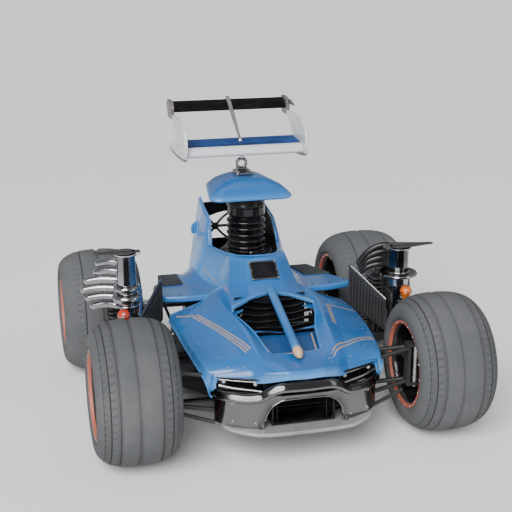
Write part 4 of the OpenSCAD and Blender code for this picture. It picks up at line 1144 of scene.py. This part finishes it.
def engine_case():
    profile = [(0, 472), (13, 472), (13, 450), (64, 450), (74, 453), (78, 458)]
    for x in range(466, 574, 18):
        profile += [(78, x), (73.5, x + 2), (73.5, x + 7), (78, x + 9)]
    profile += [(78, 583), (74, 588), (66, 590), (60, 590), (58, 587), (24, 587), (21, 590), (0, 590)]
    case = turned(profile, 96, (0, 60, 250), closed=False)
    feet = block((452, -16, 172), (588, 136, 208))
    return case, feet


def engine_head():
    middle = (520, 60)
    fins = []
    for i in range(6):
        z = 338 + 17 * i
        edge = oblong(58, -58, 58, 0, 16, 5)
        fins.append(slab([(x + middle[0], y + middle[1]) for x, y, _ in edge], z, z + 6))
    core = lathe([(0, 326), (40, 326), (40, 442), (0, 442)], 48, (*middle, 0))
    cover = slab([(x + middle[0], y + middle[1]) for x, y, _ in oblong(46, -40, 40, 0, 12, 6)], 440, 463)
    plug = joined(lathe([(0, 460), (9, 460), (9, 468), (6, 470), (6, 482), (0, 484)], 6, (*middle, 0)),
                  *[bolt((middle[0] + x, middle[1] + y, 463), (0, 0, 1), 5, 4) for x in (-34, 34)
                    for y in (-28, 28)])
    return joined(*fins), joined(core, cover), plug


def add_engines():
    case, feet = engine_case()
    fins, core, plug = engine_head()
    piece("engine_cases", both(case), ENGINE_BLACK, replaces=["engine_blocks"], smooth=28)
    mounts = joined(feet, block((504, -96, 332), (540, 2, 398)), block((516, -150, 371), (550, -98, 378)))
    piece("engine_mounts", both(mounts), ENGINE_BLACK, bevel=5, segments=3)
    post = lathe([(0, 300), (18, 300), (18, 430), (20, 432), (20, 438), (0, 438)], 40, (522, -100, 0))
    piece("stack_posts", both(post), BLACK_CHROME, smooth=40)
    piece("engine_fins", both(fins), ENGINE_BLACK, replaces=["engine_heads"],
          bevel=1.2, segments=2)
    piece("engine_head_cores", both(core), ENGINE_BLACK, bevel=3)
    piece("engine_head_bolts", both(plug), STEEL, bevel=0.5, segments=1)
    cover_bolts = [bolt((590, 60 + 68 * math.cos(a), 250 + 68 * math.sin(a)), (1, 0, 0), 4.5, 4)
                   for a in [math.radians(45 * k + 20) for k in range(8)]]
    piece("engine_case_bolts", both(joined(*cover_bolts)), STEEL, bevel=0.4, segments=1)


def add_headers():
    """Six domed pipes stacked outboard on the right engine, four bent inboard on the left one."""
    reach = (84, 92, 128, 140, 126, 108)
    pipes = []
    for i, out in enumerate(reach):
        z = 590 - 33 * i
        pipes.append(domed([(-520, -44, z - 6), (-548, -40, z - 2), (-528 - 0.6 * out, -24 + 2 * i, z - 2),
                            (-526 - out, -6 + 2 * i, z - 12)], 13.5))
    pipes.append(lathe([(0, 400.5), (14, 400.5), (16, 410), (16, 596), (12, 604), (0, 606)], 32,
                       (-524, -36, 0)))
    cuffs = [ring((-556, -37, 588 - 33 * i), 14.2, 2, "x") for i in range(6)]
    piece("header_pipes_right", joined(*pipes), CHROME, replaces=["header_pipes"], smooth=60)
    piece("header_cuffs", joined(*cuffs), CHROME, smooth=60)
    shell_path = [(-486, -94, 400), (-478, -90, 450), (-484, -92, 500), (-500, -96, 530)]
    piece("header_shell", tube_along(shell_path, 14, 16, 5), CHROME, smooth=60)
    left = []
    for i in range(4):
        left.append(domed([(520, -14 + 5 * i, 568 - 28 * i), (478, -4 + 4 * i, 566 - 26 * i),
                           (436, 8 + 4 * i, 540 - 22 * i), (404 + 6 * i, 16 + 4 * i, 500 - 14 * i)], 12.5))
    left.append(lathe([(0, 400.5), (14, 400.5), (15, 410), (15, 570), (11, 580), (0, 582)], 32, (524, -12, 0)))
    # engine black on the left pipes, chrome on the right ones: the darker finish is painted shade on the
    # shaded left side
    piece("header_pipes_left", joined(*left), ENGINE_BLACK, smooth=60)


def domed(path, radius):
    """Pipe along the path whose far end is a dome."""
    line = smooth_path(path, 5)
    end, ahead = line[-1], (line[-1] - line[-2]).normalized()
    radii = [radius] * len(line)
    for degrees in (20, 40, 58, 74, 86):
        line.append(end + ahead * radius * math.sin(math.radians(degrees)))
        radii.append(radius * math.cos(math.radians(degrees)))
    return swept(line, radii, 18)


def add_radiators():
    """Ribbed shield in front of each engine with a rolled top edge."""
    turn = shift(376, 44, 0) @ Matrix.Rotation(math.radians(-50), 4, "Z")
    plate = moved(slab([(0, 320), (0, 470), (8, 478), (170, 374), (170, 246)], -8, 0, "xz"), turn)
    piece("radiator_plates", both(plate), ENGINE_BLACK, replaces=["side_radiators"],
          bevel=2.5)
    ribs = []
    for i in range(11):
        u = 12 + 14 * i
        foot, top = 326 - 0.43 * u, 468 - 0.61 * u
        outline = [(-8, foot), (-8, top), (-12, top - 3), (-15, top - 12), (-15, foot + 14), (-12, foot + 4)]
        ribs.append(moved(slab(outline, u - 2.4, u + 2.4, "yz"), turn))
    piece("radiator_ribs", both(joined(*ribs)), ENGINE_BLACK, bevel=1.4, segments=2)
    edge = moved(swept(smooth_path([(0, -4, 474), (10, -4, 478), (90, -4, 426), (169, -4, 374)], 5), 3.2,
                       14), turn)
    piece("radiator_edges", both(edge), BLACK_CHROME, smooth=60)


def stack_tube(radius, top):
    base, wall = 440, 4
    return turned([(radius - wall, base), (radius, base), (radius, top - 12), (radius + 2, top - 9),
                   (radius + 6, top - 8), (radius + 7.5, top - 5), (radius + 7, top - 1.5),
                   (radius + 3, top), (radius - wall, top), (radius - wall, base + 1)], 72, axis="z")


def add_stacks():
    for word, side in SIDES.items():
        radius, top = STACKS[word]
        place = shift(*STACK_AT[word], 0) @ Matrix.Diagonal((side, 1, 1, 1))
        # the kart's left side lies in shade, so its stack takes black chrome where the right takes chrome:
        # painted shade
        look = CHROME if word == "right" else BLACK_CHROME
        lugs = [block((-radius - HINGE_OUT - 4, y, top - 8), (-radius - 1, y + 4, top + 3)) for y in (-17, 13)]
        pin = [(0, -16.5), (2.5, -16.5), (2.5, 16.5), (0, 16.5)]
        pin = moved(lathe(pin, 20), shift(-radius - HINGE_OUT, 0, top
                                          - 1) @ Matrix.Rotation(math.radians(90), 4, "X"))
        piece("stack_" + word, moved(stack_tube(radius, top), place), look,
              replaces=["stack_" + word], smooth=50)
        piece("stack_lugs_" + word, moved(joined(*lugs, pin), place), look, bevel=0.8, segments=2)
    right = shift(*STACK_AT["right"], 0)
    rings = joined(*[turned([(radius + thick * math.cos(a), z + high * math.sin(a)) for a in
                             [2 * math.pi * k / 20 for k in range(20)]], 64, axis="z")
                     for radius, thick, high, z in ((39, 9, 11, 509), (42, 12, 15, 472), (37, 6, 6, 444))])
    piece("stack_rings_right", moved(rings, right), CHROME, smooth=60)
    brim = [(38, 473), (56, 474), (68, 476), (73, 479), (74, 483), (71, 487), (62, 486.5), (50, 484),
            (42, 486), (38.5, 492)]
    # black chrome on the left brim: painted shade of the shaded left side
    piece("stack_brim_left", moved(turned(brim, 72, axis="z"), shift(*STACK_AT["left"], 0)), BLACK_CHROME,
          smooth=50)


def add_flaps():
    """Rain flaps: a lid over the stack, a rib along it and a long tail, turning on the lugs' pin."""
    for word, side in SIDES.items():
        radius, top = STACKS[word]
        tail = 104 if word == "right" else 126
        place = shift(*STACK_AT[word], 0) @ Matrix.Diagonal((side, 1, 1, 1))
        around = [((radius + 2) * math.cos(math.radians(d)), (radius + 2) * math.sin(math.radians(d)))
                  for d in range(66, 295, 12)]
        tip = [(tail + 12 * math.cos(math.radians(d)), 12 * math.sin(math.radians(d)))
               for d in range(-80, 81, 20)]
        waist = 0.5 * (radius + tail)
        outline = around + [(waist, -19)] + tip + [(waist, 19)]
        lid = slab(outline, top + 2, top + 6)
        start = -0.7 * radius
        rib = slab([(start, -3), (tail - 4, -2), (tail - 4, 2), (start, 3)], top + 5, top + 8.5)
        tongue = block((-radius - HINGE_OUT - 4, -11.5, top + 2), (-radius + 12, 11.5, top + 6))
        barrel = moved(turned([(2.6, -11.5), (5, -11.5), (5, 11.5), (2.6, 11.5)], 24, axis="z"),
                       shift(-radius - HINGE_OUT, 0, top - 1) @ Matrix.Rotation(math.radians(90), 4, "X"))
        piece("flap_" + word, moved(joined(lid, tongue), place), ENGINE_BLACK, "flap_" + word,
              ["flap_" + word], bevel=1.2, segments=3)
        piece("flap_rib_" + word, moved(rib, place), ENGINE_BLACK, "flap_" + word, bevel=1, segments=2)
        piece("flap_barrel_" + word, moved(barrel, place), ENGINE_BLACK, "flap_" + word, smooth=50)


LAMP = (541, -140, 418)
LAMP_RADIUS = 23


def add_lamps():
    """Ball lamps with a cone below, each in a wire guard on the engine's bracket."""
    dome = [math.radians(d) for d in range(-78, 79, 12)]
    curve = [(LAMP_RADIUS * math.cos(a), LAMP_RADIUS * math.sin(a)) for a in dome]
    ball = [(0, -LAMP_RADIUS), *curve, (0, LAMP_RADIUS)]
    cone = [(0, -38), (9, -38), (11, -34), (17, -12), (0, -10)]
    for word, side in SIDES.items():
        x, y, z = LAMP[0] * side, LAMP[1], LAMP[2]
        lens = joined(lathe(ball, 40, (x, y, z)), lathe(cone, 32, (x, y, z)))
        piece("lamp_" + word, lens, LAMP_AMBER if word == "left" else LAMP_RED,
              replaces=["lamps"], smooth=60)
        guard = joined(ring((x, y, z), LAMP_RADIUS + 0.4, 1.5, "z", 40),
                       ring((x, y, z - 35), 11, 1.8, "z", 32),
                       tube_along([(x, y + 14, z - 34), (x, y + 25, z - 22), (x, y + 25, z + 2)], 3, 12),
                       ring((x, y, z), LAMP_RADIUS + 0.4, 1.2, "x", 40))
        # black chrome on the left guard, chrome on the right: the darker finish is painted shade on the shaded
        # left side
        piece("lamp_guard_" + word, guard, CHROME if word == "right" else BLACK_CHROME, smooth=60)


# ---------- camera, light and floor ----------

CAMERA_PLACE = (-1.0011, -3.8882, 1.7934)  # metres, fitted to the four tyre outlines
CAMERA_TARGET = Vector((-0.0145, 0.002, 0.559))
FLOOR_REACH = 40  # metres each way


def add_camera():
    data = bpy.data.cameras.new("camera")
    data.lens = 77.9
    data.sensor_width = 36
    data.clip_end = 50
    camera = bpy.data.objects.new("camera", data)
    bpy.context.scene.collection.objects.link(camera)
    camera.location = CAMERA_PLACE
    camera.rotation_euler = (CAMERA_TARGET - camera.location).to_track_quat("-Z", "Y").to_euler()
    bpy.context.scene.camera = camera


def add_light(name, place, aim, size, power):
    data = bpy.data.lights.new(name, "AREA")
    data.shape = "RECTANGLE"
    data.size, data.size_y = size
    data.energy = power
    light = bpy.data.objects.new(name, data)
    bpy.context.scene.collection.objects.link(light)
    light.location = place
    light.rotation_euler = (Vector(aim) - Vector(place)).to_track_quat("-Z", "Y").to_euler()


def add_sun(name, direction, strength, spread_degrees):
    """Soft light from far away, so that the floor is lit evenly."""
    data = bpy.data.lights.new(name, "SUN")
    data.energy = strength
    data.angle = math.radians(spread_degrees)
    light = bpy.data.objects.new(name, data)
    bpy.context.scene.collection.objects.link(light)
    light.rotation_euler = (-Vector(direction)).to_track_quat("-Z", "Y").to_euler()


def add_studio():
    add_sun("sky_key", (-1.4, -2.4, 2.0), 4.2, 45)
    add_light("key", (-2.2, -2.6, 3.4), (0, 0, 0.4), (1.6, 1.6), 40)
    add_light("fill", (2.8, -2.2, 2.2), (0, 0, 0.4), (1.2, 2.0), 14)
    add_light("top", (0, 1.6, 3.2), (0, 0, 0.3), (1.5, 2.5), 8)
    world = bpy.data.worlds.new("studio")
    bpy.context.scene.world = world
    world.use_nodes = True
    sky = world.node_tree.nodes["Background"]
    sky.inputs["Color"].default_value = (0.95, 0.97, 1.0, 1)
    sky.inputs["Strength"].default_value = 0.36
    mesh = bpy.data.meshes.new("floor")
    corners = [(sx * FLOOR_REACH, sy * FLOOR_REACH, 0) for sx, sy in ((-1, -1), (1, -1), (1, 1), (-1, 1))]
    mesh.from_pydata(corners, [], [(0, 1, 2, 3)])
    floor = bpy.data.objects.new("floor", mesh)
    bpy.context.scene.collection.objects.link(floor)
    mesh.materials.append(material("floor", (0.92, 0.92, 0.92), 0.9, patches=(0.9, 0.9, 0.9), patch_scale=1))


paint_cad_nodes()
add_camera()
add_studio()
add_wheels()
add_nose()
add_panel()
add_louvres()
add_spine()
add_bumper()
add_headlights()
add_pods()
add_tower()
add_brace()
add_mirror()
add_cap()
add_bellows()
add_wing()
add_engines()
add_headers()
add_radiators()
add_stacks()
add_flaps()
add_lamps()
